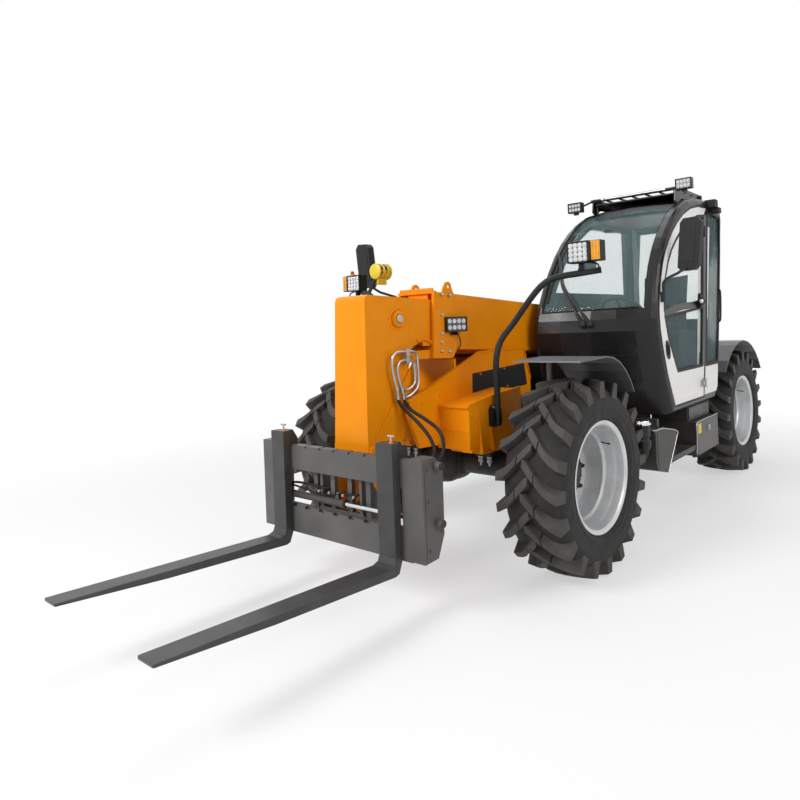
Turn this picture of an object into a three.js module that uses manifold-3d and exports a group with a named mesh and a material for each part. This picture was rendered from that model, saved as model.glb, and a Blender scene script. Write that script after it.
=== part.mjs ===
// Telehandler with a fork carriage: a rigid frame on two steered axles, a two-stage telescopic
// boom on the centreline, a cab on the left, an engine pod on the right and two load forks.
// Millimetres. X is the machine's left, Y its rear, Z up. While the pieces are laid out, Y = 0 is
// the front axle; at the end the group is shifted so that the origin is the box's bottom centre.
import * as THREE from 'three';
import { mergeVertices } from 'three/addons/utils/BufferGeometryUtils.js';
import Module from 'manifold-3d';

const wasm = await Module();
wasm.setup();

// ---- driving dimensions ---------------------------------------------------------------------
const SEAM = 0.3;                 // gap between faces that touch
const RUN = 5;                    // running clearance between moving pieces
const PIN_PLAY = 0.5;             // radial play of a pin in its eye
const PAD_PLAY = 0.7;             // between a wear pad and the boom section it guides

const WHEELBASE = 2950;
const WHEEL_X = 955;              // wheel centre from the centreline
const TYRE_R = 588.5;
const TYRE_HALF = 202.5;          // half the tyre's section width
const RIM_SEAT_R = 305;
const RIM_LIP_R = 335;
const RIM_HALF = 182;
const DISC_INSET = 82;            // wheel disc, inboard of the tyre's centre plane
const WHEEL_SIDES = 24;
const AXLE_Z = TYRE_R;
const KINGPIN_X = 740;
const HUB_R = 140;

const RAIL_WALL = 30;
const RAIL_TOP = 1000;
const RAIL_LOW = 560;
const CAB_LOW_Z = 800;            // underside of the cab
const RAIL_MID_TOP = CAB_LOW_Z - SEAM;
const AXLE_SEAT_Z = 714;          // underside of the frame over an axle
const WEIGHT_LENGTH = 350;

const PIVOT_Y = WHEELBASE + 200;  // boom pivot
const PIVOT_Z = 1370;
const PIVOT_PIN_R = 40;
const FLANGE_Y = -379.8;          // the outer boom's front face, on the line through the pivot
const FLANGE_Z = 1610.6;
const BOOM_SLOPE = Math.atan2(FLANGE_Z - PIVOT_Z, PIVOT_Y - FLANGE_Y);
const BOOM_LENGTH = Math.hypot(FLANGE_Z - PIVOT_Z, PIVOT_Y - FLANGE_Y);
const OUTER_HALF = 155;           // half width of the outer boom
const OUTER_WALL = 12;
const OUTER_TOP = 148;            // above the line through the pivot along the boom
const OUTER_LOW = -224;
const BOOM_PLAY = 12;             // beside the inner boom, where its wear pads run
const INNER_HALF = OUTER_HALF - OUTER_WALL - BOOM_PLAY;
const INNER_WALL = 10;
const INNER_TOP = 95;
const INNER_LOW = -205;
const INNER_TAIL = 150;           // pivot to the inner boom's rear end

const PLATE_X = OUTER_HALF + 30;  // inner face of the plates beside the boom
const PLATE_WALL = 20;
const RAIL_X = PLATE_X + 95;      // inner face of the frame rails
const TAIL_Y = WHEELBASE + 500;   // rear end of the rails

const HEAD_FRONT_Y = -940;
const HEAD_WALL = 16;
const CARRIAGE_Y = -905;          // carriage pivot at the foot of the boom head
const CARRIAGE_Z = 440;
const CARRIAGE_PIN_R = 30;
const TILT_TOP = { y: -674, z: 1586 };
const TILT_EYE = { y: -731, z: 383 };
const TILT_BARREL_R = 50;
const TILT_BARREL_LENGTH = 880;
const TILT_ROD_R = 28;
const TILT_ROD_LENGTH = 600;

const LIFT_BASE = { y: WHEELBASE - 250, z: 640 };
const LIFT_ALONG = 1476.3;        // the lift rod's eye, forward of the boom pivot along the boom
const LIFT_DROP = 311.1;          // and below the line through it
const LIFT_EYE = {
  y: PIVOT_Y - LIFT_ALONG * Math.cos(BOOM_SLOPE) - LIFT_DROP * Math.sin(BOOM_SLOPE),
  z: PIVOT_Z + LIFT_ALONG * Math.sin(BOOM_SLOPE) - LIFT_DROP * Math.cos(BOOM_SLOPE),
};
const LIFT_BARREL_R = 65;
const LIFT_BARREL_LENGTH = 1050;
const LIFT_ROD_R = 38;
const LIFT_ROD_LENGTH = 1045;
const EYE_PIN_R = 25;

const BAR_FRONT_Y = -1085;        // front face of the fork carriage's bars
const BAR_DEPTH = 45;
const TOP_BAR = { low: 705, high: 850, half: 590 };
const LOW_BAR = { low: 325, high: 490, half: 590 };
const COLUMN_X = 690;             // outer face of the carriage's end columns
const FORK_X = 466;
const FORK_WIDTH = 125;
const FORK_THICK = 50;
const FORK_LENGTH = 1200;
const FORK_TOP_Z = 937;
const FORK_HEEL_Z = 306;          // top of the blade at the heel
const FORK_TILT = THREE.MathUtils.degToRad(3.5);

const CAB_INNER_X = PLATE_X + 40;
const CAB_OUTER_X = 1130;
const CAB_WALL = 45;
const GLASS = 6;
const PANE_FIT = 0.4;             // between a pane's edge and its frame

const POD_INNER_X = RAIL_X + RAIL_WALL + SEAM;   // engine pod, outboard of the right rail
const POD_OUTER_X = 1100;
const POD_FRONT_Y = 780;
const POD_REAR_Y = 2200;
const POD_FLOOR_Z = 640;
const POD_SPLIT_Z = 900;
const POD_TOP_Z = 1560;
const POD_WALL = 25;
const ENGINE = { width: 530, length: 900, height: 700 };

const MIRROR_OUT_X = 1405;
const MIRROR = { width: 160, depth: 62, height: 390, lean: 32 };
const LAMP = { width: 150, depth: 70, height: 130 };
const ARM_R = 20;                 // tube that carries a headlamp
const STEER_WHEEL_R = 190;

// ---- colours --------------------------------------------------------------------------------
function paint(color, roughness = 0.45, metalness = 0.0) {
  return new THREE.MeshStandardMaterial({ color, roughness, metalness });
}
const ORANGE = paint(0xf29a0e, 0.35);
const DARK = paint(0x33353a, 0.5);
const BLACK = paint(0x151617, 0.55);
const GREY = paint(0x55585c, 0.5);
const WHITE = paint(0xdddad2, 0.4);
const SILVER = paint(0xb9bdc2, 0.35, 0.5);
const RUBBER = paint(0x1f2021, 0.85);
const CHROME = paint(0xd9dde2, 0.12, 1.0);
const TINT = new THREE.MeshStandardMaterial({
  color: 0x8fb8b4, roughness: 0.05, transparent: true, opacity: 0.35,
});

// ---- solids ---------------------------------------------------------------------------------
const X_AXIS = new THREE.Vector3(1, 0, 0);
const Y_AXIS = new THREE.Vector3(0, 1, 0);
const Z_AXIS = new THREE.Vector3(0, 0, 1);

function signedVolume(p, index) {
  const corner = (i) => new THREE.Vector3(p[3 * i], p[3 * i + 1], p[3 * i + 2]);
  let total = 0;
  for (let i = 0; i < index.length; i += 3) {
    const [a, b, c] = [corner(index[i]), corner(index[i + 1]), corner(index[i + 2])];
    total += a.dot(b.cross(c));
  }
  return total;
}

function solid(geometry) {
  const bare = geometry.clone();
  bare.deleteAttribute('normal');
  bare.deleteAttribute('uv');
  const merged = mergeVertices(bare, 0.001);
  const p = merged.attributes.position.array;
  const index = [];
  const all = merged.index.array;
  for (let i = 0; i < all.length; i += 3) {
    const [a, b, c] = [all[i], all[i + 1], all[i + 2]];
    if (a !== b && b !== c && c !== a) index.push(a, b, c);
  }
  if (signedVolume(p, index) < 0) index.reverse();
  return new wasm.Manifold(new wasm.Mesh({
    numProp: 3, vertProperties: new Float32Array(p), triVerts: new Uint32Array(index),
  }));
}

const join = (first, ...rest) => rest.reduce((sum, next) => sum.add(next), first);
const cut = (first, ...tools) => tools.reduce((left, tool) => left.subtract(tool), first);

function extrude(outline, depth, xDir, yDir, origin) {
  const geometry = new THREE.ExtrudeGeometry(
    new THREE.Shape(outline.map(([a, b]) => new THREE.Vector2(a, b))),
    { depth, bevelEnabled: false },
  );
  const zDir = new THREE.Vector3().crossVectors(xDir, yDir);
  geometry.applyMatrix4(new THREE.Matrix4().makeBasis(xDir, yDir, zDir).setPosition(origin));
  return solid(geometry);
}

// outline of (y, z) points between two X values
const sidePlate = (outline, x0, x1) => extrude(
  outline, Math.abs(x1 - x0), Y_AXIS, Z_AXIS, new THREE.Vector3(Math.min(x0, x1), 0, 0));
// outline of (x, z) points between two Y values
const frontPlate = (outline, y0, y1) => extrude(
  outline, Math.abs(y1 - y0), X_AXIS, Z_AXIS, new THREE.Vector3(0, Math.max(y0, y1), 0));
// outline of (x, y) points between two Z values
const floorPlate = (outline, z0, z1) => extrude(
  outline, Math.abs(z1 - z0), X_AXIS, Y_AXIS, new THREE.Vector3(0, 0, Math.min(z0, z1)));

function box(x0, x1, y0, y1, z0, z1) {
  const geometry = new THREE.BoxGeometry(Math.abs(x1 - x0), Math.abs(y1 - y0), Math.abs(z1 - z0));
  geometry.translate((x0 + x1) / 2, (y0 + y1) / 2, (z0 + z1) / 2);
  return solid(geometry);
}

const at = (x, y, z) => new THREE.Vector3(x, y, z);

function bar(from, to, radius, sides = 20, endRadius = radius) {
  const along = new THREE.Vector3().subVectors(to, from);
  const geometry = new THREE.CylinderGeometry(endRadius, radius, along.length(), sides);
  geometry.translate(0, along.length() / 2, 0);
  geometry.applyQuaternion(new THREE.Quaternion().setFromUnitVectors(Y_AXIS, along.clone().normalize()));
  geometry.translate(from.x, from.y, from.z);
  return solid(geometry);
}

// round bar across the machine
const pin = (x0, x1, { y, z }, radius, sides = 20) => bar(at(x0, y, z), at(x1, y, z), radius, sides);

// profile of (radius, distance outboard) points turned about a wheel's axis
function turned(profile, x, y, z, side, sides = WHEEL_SIDES) {
  const points = profile.map(([r, a]) => new THREE.Vector2(r, a));
  const geometry = new THREE.LatheGeometry(points, sides, Math.PI / sides);
  geometry.applyMatrix4(
    new THREE.Matrix4().makeBasis(Z_AXIS, at(side, 0, 0), Y_AXIS).setPosition(x, y, z));
  return solid(geometry);
}

function pipe(points, radius, sides = 10, steps = 24) {
  const path = new THREE.CatmullRomCurve3(points, false, 'centripetal');
  const section = new THREE.Shape();
  for (let i = 0; i < sides; i += 1) {
    const angle = (2 * Math.PI * i) / sides;
    const [a, b] = [radius * Math.cos(angle), radius * Math.sin(angle)];
    if (i === 0) section.moveTo(a, b);
    else section.lineTo(a, b);
  }
  section.closePath();
  return solid(new THREE.ExtrudeGeometry(section, { steps, extrudePath: path, curveSegments: 1 }));
}

// closed body through rings of equally many points, one ring after another along X
function loft(given) {
  const turns = THREE.ShapeUtils.area(given[0].map((v) => new THREE.Vector2(v.y, v.z)));
  const rings = turns > 0 ? given : given.map((ring) => [...ring].reverse());
  const count = rings[0].length;
  const p = rings.flat().flatMap((v) => [v.x, v.y, v.z]);
  const index = [];
  for (let ring = 0; ring < rings.length - 1; ring += 1) {
    for (let i = 0; i < count; i += 1) {
      const [a, b] = [ring * count + i, ring * count + ((i + 1) % count)];
      index.push(a, b, b + count, a, b + count, a + count);
    }
  }
  const flat = rings[0].map((v) => new THREE.Vector2(v.y, v.z));
  const last = (rings.length - 1) * count;
  for (const [a, b, c] of THREE.ShapeUtils.triangulateShape(flat, [])) index.push(a, c, b);
  const flatEnd = rings.at(-1).map((v) => new THREE.Vector2(v.y, v.z));
  for (const [a, b, c] of THREE.ShapeUtils.triangulateShape(flatEnd, [])) {
    index.push(last + a, last + b, last + c);
  }
  const geometry = new THREE.BufferGeometry();
  geometry.setAttribute('position', new THREE.Float32BufferAttribute(p, 3));
  geometry.setIndex(index);
  return solid(geometry);
}

const machine = new THREE.Group();

function node(name, shape, material) {
  const mesh = shape.getMesh();
  const geometry = new THREE.BufferGeometry();
  geometry.setAttribute('position', new THREE.BufferAttribute(new Float32Array(mesh.vertProperties), 3));
  geometry.setIndex(new THREE.BufferAttribute(new Uint32Array(mesh.triVerts), 1));
  geometry.computeVertexNormals();
  const piece = new THREE.Mesh(geometry, material);
  piece.name = name;
  machine.add(piece);
}

const SIDES = [['left', 1], ['right', -1]];
const ENDS = [['front', 0], ['rear', WHEELBASE]];

// ---- wheels, knuckles and axles ---------------------------------------------------------------
function wheel(end, y, label, side) {
  const tyreOut = TYRE_R / Math.cos(Math.PI / WHEEL_SIDES);
  const bead = RIM_SEAT_R + SEAM;
  const half = [
    [tyreOut, 150], [560, 192], [460, TYRE_HALF], [RIM_LIP_R + 2, 170.5], [bead, 167.5],
  ];
  const tyre = [
    ...half.map(([r, a]) => [r, -a]).reverse(), ...half, [bead, -167.5],
  ];
  const lipIn = RIM_HALF - 11;
  const discBack = -DISC_INSET - 16;
  const rim = [
    [0, -20], [HUB_R, -20], [HUB_R, -DISC_INSET], [262, -DISC_INSET], [262, 50],
    [318, RIM_HALF], [RIM_LIP_R, RIM_HALF], [RIM_LIP_R, lipIn], [RIM_SEAT_R, 168],
    [RIM_SEAT_R, -168], [RIM_LIP_R, -lipIn], [RIM_LIP_R, -RIM_HALF],
    [318, -RIM_HALF], [262, discBack], [0, discBack],
  ];
  const x = side * WHEEL_X;
  node(`${end}_${label}_tyre`, turned(tyre, x, y, AXLE_Z, side), RUBBER);
  node(`${end}_${label}_rim`, turned(rim, x, y, AXLE_Z, side), SILVER);
}

const PIN_HALF = 164;             // half height of the kingpin between the axle's yoke arms
const ARM_THICK = 30;

function knuckle(end, y, label, side) {
  const hubFace = WHEEL_X - DISC_INSET - 16 - PIN_PLAY;
  let shape = join(
    bar(at(side * KINGPIN_X, y, AXLE_Z - PIN_HALF), at(side * KINGPIN_X, y, AXLE_Z + PIN_HALF), 60),
    bar(at(side * (KINGPIN_X - 20), y, AXLE_Z), at(side * hubFace, y, AXLE_Z), HUB_R, 28),
  );
  if (end === 'front' && side > 0) {
    shape = shape.add(box(side * 700, side * 760, y + 90, y + 135, 590, FENDER_POST_FOOT_Z));
  }
  node(`${end}_${label}_knuckle`, shape, DARK);
}

const FENDER_POST_FOOT_Z = 700;
const FENDER_FRONT_Z = 1302;

// front mud guard: flat over the front of the tyre, curved down behind it, on a post that stands
// on the left steering knuckle; the right wheel has none
function frontFender() {
  const top = [[-255, 0], [60, 8], [160, -4], [250, -40], [330, -100], [390, -165], [440, -245]];
  const sheet = 9;
  const outline = [
    ...top.map(([y, z]) => [y, FENDER_FRONT_Z + z]),
    ...top.map(([y, z]) => [y - sheet * 0.4, FENDER_FRONT_Z + z - sheet]).reverse(),
  ];
  const post = bar(
    at(715, 112, FENDER_POST_FOOT_Z + SEAM), at(715, 112, FENDER_FRONT_Z), 19, 14);
  node('front_left_fender', join(sidePlate(outline, 690, 1158), post), GREY);
}

// rear mud guard: a curved sheet over the tyre, carried by an arm from the frame rail
function rearFender(label, side) {
  const reach = 735;
  const points = [];
  for (let step = 0; step <= 10; step += 1) {
    const angle = THREE.MathUtils.degToRad(142 - 110 * (step / 10));
    points.push([reach * 1.0 * Math.cos(angle), reach * 0.93 * Math.sin(angle)]);
  }
  const sheet = 9;
  const outer = points.map(([a, b]) => [WHEELBASE + a, AXLE_Z + b]);
  const inner = points.map(([a, b]) => {
    const shrink = 1 - sheet / reach;
    return [WHEELBASE + a * shrink, AXLE_Z + b * shrink];
  });
  const arm = box(side * (PLATE_X + PLATE_WALL + SEAM), side * 720, WHEELBASE - 40, WHEELBASE + 40,
    AXLE_Z + reach * 0.93 - 45, AXLE_Z + reach * 0.93 - 8);
  node(`rear_${label}_fender`, join(
    sidePlate([...outer, ...inner.reverse()], side * 700, side * 1158), arm), BLACK);
}

function axle(end, y, towardMiddle) {
  const tube = bar(at(-640, y, AXLE_Z), at(640, y, AXLE_Z), 85, 24);
  const ball = new THREE.SphereGeometry(1, 20, 10);
  ball.scale(190, 165, 150);
  ball.translate(-60, y, AXLE_Z);
  const nose = bar(at(-60, y, AXLE_Z), at(-60, y + 185 * towardMiddle, AXLE_Z), 75, 20, 60);
  const parts = [solid(ball), nose];
  for (const [, side] of SIDES) {
    parts.push(box(side * 600, side * 630, y - 70, y + 70, AXLE_Z - 195, AXLE_Z + 195));
    for (const level of [1, -1]) {
      const z0 = AXLE_Z + level * (PIN_HALF + PIN_PLAY);
      const z1 = z0 + level * ARM_THICK;
      parts.push(
        box(side * 600, side * KINGPIN_X, y - 55, y + 55, z0, z1),
        bar(at(side * KINGPIN_X, y, Math.min(z0, z1)), at(side * KINGPIN_X, y, Math.max(z0, z1)), 80, 24),
      );
    }
    parts.push(box(side * (RAIL_X - 10), side * (RAIL_X + 60), y - 90, y + 90, AXLE_Z, AXLE_SEAT_Z - SEAM));
  }
  node(`${end}_axle`, join(tube, ...parts), DARK);
}

for (const [end, y] of ENDS) {
  axle(end, y, end === 'front' ? 1 : -1);
  for (const [label, side] of SIDES) {
    knuckle(end, y, label, side);
    wheel(end, y, label, side);
  }
}
frontFender();
for (const [label, side] of SIDES) rearFender(label, side);

// ---- frame --------------------------------------------------------------------------------------
const PLATE_OUT = PLATE_X + PLATE_WALL;
const FRONT_BOX = { front: -410, rear: 150, outer: 450 };

function frontFrame() {
  const parts = [];
  for (const [, side] of SIDES) {
    parts.push(sidePlate([
      [-600, 790], [150, 740], [640, 740], [640, 1100], [560, 1345], [35, 1345], [-680, 1088], [-690, 1000],
    ], side * PLATE_X, side * PLATE_OUT));
    parts.push(sidePlate([
      [FRONT_BOX.front, 758], [-300, 758], [-284, AXLE_SEAT_Z], [FRONT_BOX.rear, AXLE_SEAT_Z],
      [FRONT_BOX.rear, 1085], [-130, 1065], [FRONT_BOX.front, 1032],
    ], side * PLATE_X, side * FRONT_BOX.outer));
  }
  parts.push(box(-PLATE_X, PLATE_X, -225, -205, 760, 1310));
  parts.push(box(-PLATE_X, PLATE_X, -430, -410, 790, 960));
  return join(...parts);
}

function mainFrame() {
  const parts = [];
  const railFront = FRONT_BOX.rear + SEAM;
  const arch = 150;
  const towerY = WHEELBASE - 310;
  for (const [, side] of SIDES) {
    parts.push(sidePlate([
      [railFront, AXLE_SEAT_Z], [arch + 90, AXLE_SEAT_Z], [arch + 200, RAIL_LOW], [WHEELBASE - arch - 40, RAIL_LOW],
      [WHEELBASE - arch, AXLE_SEAT_Z], [WHEELBASE + arch, AXLE_SEAT_Z], [WHEELBASE + arch + 80, 600],
      [TAIL_Y, 600], [TAIL_Y, RAIL_TOP], [WHEELBASE - 390, RAIL_TOP], [WHEELBASE - 490, RAIL_MID_TOP],
      [760, RAIL_MID_TOP],
      [690, RAIL_TOP], [railFront, RAIL_TOP],
    ], side * RAIL_X, side * (RAIL_X + RAIL_WALL)));
    parts.push(sidePlate([
      [towerY, 760], [towerY, 900], [PIVOT_Y - 250, 1400], [PIVOT_Y - 110, 1500], [PIVOT_Y + 110, 1500],
      [PIVOT_Y + 220, 1400], [TAIL_Y, 1050], [TAIL_Y, 760],
    ], side * PLATE_X, side * PLATE_OUT));
  }
  const inner = RAIL_X + 1;
  parts.push(box(-inner, inner, 420, 440, RAIL_LOW, 735));
  parts.push(box(-inner, inner, 420, WHEELBASE - 350, RAIL_LOW, RAIL_LOW + 15));
  parts.push(box(PLATE_X, inner, towerY, towerY + 20, 760, 900));
  parts.push(box(-inner, -PLATE_X, towerY, towerY + 20, 760, 900));
  parts.push(box(-inner, inner, TAIL_Y - 30, TAIL_Y, 600, 1050));
  parts.push(pin(-inner, inner, LIFT_BASE, EYE_PIN_R));
  parts.push(pin(-PLATE_OUT - 20, PLATE_OUT + 20, { y: PIVOT_Y, z: PIVOT_Z }, PIVOT_PIN_R, 24));
  return join(...parts);
}

node('front_frame', frontFrame(), ORANGE);
node('main_frame', mainFrame(), DARK);
const tail = TAIL_Y + SEAM;
node('counterweight', join(
  floorPlate([[-420, tail], [420, tail], [420, TAIL_Y + 240], [850, TAIL_Y + 240],
    [850, TAIL_Y + WEIGHT_LENGTH - 40], [760, TAIL_Y + WEIGHT_LENGTH],
    [-760, TAIL_Y + WEIGHT_LENGTH], [-850, TAIL_Y + WEIGHT_LENGTH - 40], [-850, TAIL_Y + 240],
    [-420, TAIL_Y + 240]], 640, 960),
  box(-400, 400, tail, TAIL_Y + WEIGHT_LENGTH - 20, 900, 1130),
), DARK);

// ---- boom -----------------------------------------------------------------------------------------
// A point "along" millimetres forward of the pivot and "up" above the line through it.
function onBoom(x, along, up) {
  return at(
    x,
    PIVOT_Y - along * Math.cos(BOOM_SLOPE) + up * Math.sin(BOOM_SLOPE),
    PIVOT_Z + along * Math.sin(BOOM_SLOPE) + up * Math.cos(BOOM_SLOPE),
  );
}
// outline of (along, up) points between two X values
function boomPlate(outline, x0, x1) {
  const flat = outline.map(([along, up]) => {
    const p = onBoom(0, along, up);
    return [p.y, p.z];
  });
  return sidePlate(flat, x0, x1);
}
const boomBox = (x0, x1, a0, a1, u0, u1) => boomPlate([[a0, u0], [a1, u0], [a1, u1], [a0, u1]], x0, x1);

// pads that fill the space between the two boom sections, less their play on the side that slides
function wearPads(a0, a1, onInner) {
  const outerX = OUTER_HALF - OUTER_WALL + 1 - (PAD_PLAY + 1) * onInner;
  const innerX = INNER_HALF + PAD_PLAY - (PAD_PLAY + 1) * onInner;
  const lowOut = OUTER_LOW + OUTER_WALL - 1 + (PAD_PLAY + 1) * onInner;
  const lowIn = INNER_LOW - PAD_PLAY + (PAD_PLAY + 1) * onInner;
  const topOut = OUTER_TOP - OUTER_WALL + 1 - (PAD_PLAY + 1) * onInner;
  const topIn = INNER_TOP + PAD_PLAY - (PAD_PLAY + 1) * onInner;
  return [
    boomBox(innerX, outerX, a0, a1, -140, 30),
    boomBox(-outerX, -innerX, a0, a1, -140, 30),
    boomBox(-90, 90, a0, a1, lowOut, lowIn),
    boomBox(-90, 90, a0, a1, topIn, topOut),
  ];
}

function outerBoom() {
  const tube = boomBox(-OUTER_HALF, OUTER_HALF, -190, BOOM_LENGTH, OUTER_LOW, OUTER_TOP);
  const flangeBack = BOOM_LENGTH - 25;
  const lug = BOOM_LENGTH - 153;    // lifting lugs on top
  const flangeHalf = OUTER_HALF + 9;
  const flange = boomBox(-flangeHalf, flangeHalf, flangeBack, BOOM_LENGTH, -285, 153);
  const parts = [flange];
  for (const [, side] of SIDES) {
    parts.push(boomBox(side * (OUTER_HALF - 20), side * (OUTER_HALF + 11), BOOM_LENGTH - 165, BOOM_LENGTH, -285, 40));
    parts.push(boomPlate([
      [lug - 65, OUTER_TOP - 10], [lug + 65, OUTER_TOP - 10], [lug + 45, OUTER_TOP + 40], [lug + 26, OUTER_TOP + 72],
      [lug, OUTER_TOP + 78], [lug - 22, OUTER_TOP + 66], [lug - 35, OUTER_TOP + 30],
    ], side * (OUTER_HALF - 15), side * (OUTER_HALF - 1)));
    parts.push(boomPlate([
      [LIFT_ALONG - 176, OUTER_LOW + 5], [LIFT_ALONG + 224, OUTER_LOW + 5], [LIFT_ALONG + 94, -330],
      [LIFT_ALONG + 44, -352], [LIFT_ALONG - 6, -352], [LIFT_ALONG - 56, -330],
    ], side * 55, side * 75));
    parts.push(pin(side * (OUTER_HALF - 5), side * (PLATE_X - PIN_PLAY), { y: PIVOT_Y, z: PIVOT_Z }, 75, 28));
  }
  const bore = boomBox(-OUTER_HALF + OUTER_WALL, OUTER_HALF - OUTER_WALL, -300, BOOM_LENGTH + 10,
    OUTER_LOW + OUTER_WALL, OUTER_TOP - OUTER_WALL);
  const eye = pin(-300, 300, { y: PIVOT_Y, z: PIVOT_Z }, PIVOT_PIN_R + PIN_PLAY, 24);
  const lugAt = onBoom(0, lug - 2, OUTER_TOP + 44);
  const hole = pin(-OUTER_HALF, OUTER_HALF, lugAt, 14, 12);
  return join(cut(join(tube, ...parts), bore, eye, hole), ...wearPads(BOOM_LENGTH - 170, BOOM_LENGTH - 20, 0));
}

const headHalf = (z) => INNER_HALF + (1732 - z) * (16 / 907);

// side outline stretched across the head, which widens downwards
function headSolid(outline, inset) {
  const geometry = new THREE.ExtrudeGeometry(
    new THREE.Shape(outline.map(([a, b]) => new THREE.Vector2(a, b))), { depth: 2, bevelEnabled: false });
  geometry.translate(0, 0, -1);
  geometry.applyMatrix4(new THREE.Matrix4().makeBasis(Y_AXIS, Z_AXIS, X_AXIS));
  const p = geometry.attributes.position;
  for (let i = 0; i < p.count; i += 1) p.setX(i, p.getX(i) * (headHalf(p.getZ(i)) - inset));
  return solid(geometry);
}

function innerBoom() {
  const front = BOOM_LENGTH + RUN;
  const tube = boomBox(-INNER_HALF, INNER_HALF, INNER_TAIL, front + 60, INNER_LOW, INNER_TOP);
  const faceTop = onBoom(0, front, INNER_TOP);
  const faceLow = onBoom(0, front, -283);
  const shell = headSolid([
    [faceTop.y, faceTop.z], [faceLow.y, faceLow.z], [-586, 1328], [-716, 821], [-800, 520], [-838, 405],
    [-872, 372], [-905, 362], [-945, 375], [-975, 405], [-982, 440], [-975, 640], [-956, 824],
    [-929, 1700], [-920, 1722], [-900, 1732],
  ], 0);
  const hollow = headSolid([
    [-600, 1700], [-911, 1700], [HEAD_FRONT_Y, 830], [-955, 780], [-1200, 780], [-1200, 200], [-300, 200],
    [-300, 1322], [-400, 1340], [-420, 1460], [-570, 1480],
  ], HEAD_WALL);
  const opening = sidePlate([
    [-583, 1382], [-545, 1412], [-500, 1432], [-445, 1441], [-392, 1444], [-392, 1382],
  ], -200, 200);
  const parts = [
    pin(-headHalf(CARRIAGE_Z) - 45, headHalf(CARRIAGE_Z) + 45, { y: CARRIAGE_Y, z: CARRIAGE_Z }, CARRIAGE_PIN_R),
    pin(-headHalf(1586) - 12, headHalf(1586) + 12, TILT_TOP, EYE_PIN_R),
  ];
  for (const [, side] of SIDES) {
    parts.push(pin(side * (headHalf(1586) - 8), side * (headHalf(1586) + 14), TILT_TOP, 52, 28));
  }
  const head = cut(shell, hollow, opening);
  const bore = boomBox(-INNER_HALF + INNER_WALL, INNER_HALF - INNER_WALL, INNER_TAIL - 50, front - 60,
    INNER_LOW + INNER_WALL, INNER_TOP - INNER_WALL);
  return join(cut(tube, bore).subtract(headSolid([[-600, 1700], [-911, 1700], [-911, 1300], [-400, 1300], [-420, 1460],
    [-570, 1480]], HEAD_WALL)), head, ...parts, ...wearPads(INNER_TAIL, INNER_TAIL + 150, 1));
}

node('outer_boom', outerBoom(), ORANGE);
node('inner_boom', innerBoom(), ORANGE);

// Two lines on the head's left side, each from a port in the head up over its own bend, then down
// and across as a flexible hose to the back of the carriage's top bar. X is measured from the outer
// boom's side.
const HOSE_R = 9;
const HOSES = {
  tilt_hose_front: [
    [-662, 1105], [10, -655, 1108], [25, -620, 1125], [28, -575, 1160], [28, -560, 1215],
    [28, -564, 1300], [28, -570, 1360], [28, -600, 1382], [28, -645, 1384], [28, -725, 1386],
    [28, -768, 1366], [28, -778, 1329], [28, -775, 1270], [28, -760, 1210], [29, -745, 1152],
    [35, -738, 1085], [75, -722, 1035], [175, -716, 960], [275, -738, 890], [350, -790, 830],
    [357, -850, 785], [345, -930, 748], [335, -990, 737], [335, -1022, 737],
    [335, BAR_FRONT_Y + BAR_DEPTH + 3 * SEAM, 737],
  ],
  tilt_hose_rear: [
    [-655, 1150], [8, -650, 1153], [23, -625, 1165], [26, -592, 1200], [26, -594, 1294],
    [26, -612, 1326], [26, -660, 1334], [26, -706, 1330], [26, -730, 1306], [26, -735, 1266],
    [28, -722, 1205], [31, -705, 1146], [41, -696, 1085], [85, -688, 1036], [195, -690, 990],
    [315, -712, 940], [375, -740, 874], [393, -785, 805], [365, -860, 745], [305, -925, 715],
    [275, -985, 723], [275, -1018, 724], [275, BAR_FRONT_Y + BAR_DEPTH + 3 * SEAM, 724],
  ],
};
for (const [name, [port, ...route]] of Object.entries(HOSES)) {
  const start = at(headHalf(port[1]) + 3 * SEAM, ...port);
  const out = at(start.x + 12, start.y, start.z);
  node(name, pipe([start, out, ...route.map(([x, y, z]) => at(OUTER_HALF + x, y, z))], HOSE_R, 8, 60), BLACK);
}

// Hydraulic cylinder between two pins across the machine: a barrel with an eye at its base and a
// rod with an eye at its end. The rod carries its own pin, which stops short of the lugs.
function cylinder(name, base, end, size) {
  const from = at(0, base.y, base.z);
  const to = at(0, end.y, end.z);
  const dir = new THREE.Vector3().subVectors(to, from).normalize();
  const on = (distance) => from.clone().addScaledVector(dir, distance);
  const back = (distance) => to.clone().addScaledVector(dir, -distance);
  const barrel = join(
    bar(from, on(size.barrelLength), size.barrelR, 24),
    bar(on(size.barrelLength - 60), on(size.barrelLength), size.barrelR + 6, 24),
    pin(-size.eyeHalf, size.eyeHalf, base, size.basePinR + 28, 24),
  );
  const bore = bar(on(size.boreStart), on(size.barrelLength + 5), size.rodR + PIN_PLAY, 24);
  const baseBore = pin(-200, 200, base, size.basePinR + PIN_PLAY, 20);
  node(`${name}_cylinder_barrel`, cut(barrel, bore, baseBore), DARK);
  const rod = join(
    bar(back(size.rodLength), to, size.rodR, 24),
    pin(-size.eyeHalf, size.eyeHalf, end, size.rodR + 14, 24),
    pin(-size.lugGap + SEAM, size.lugGap - SEAM, end, EYE_PIN_R, 20),
  );
  node(`${name}_cylinder_rod`, rod, CHROME);
}

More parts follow.
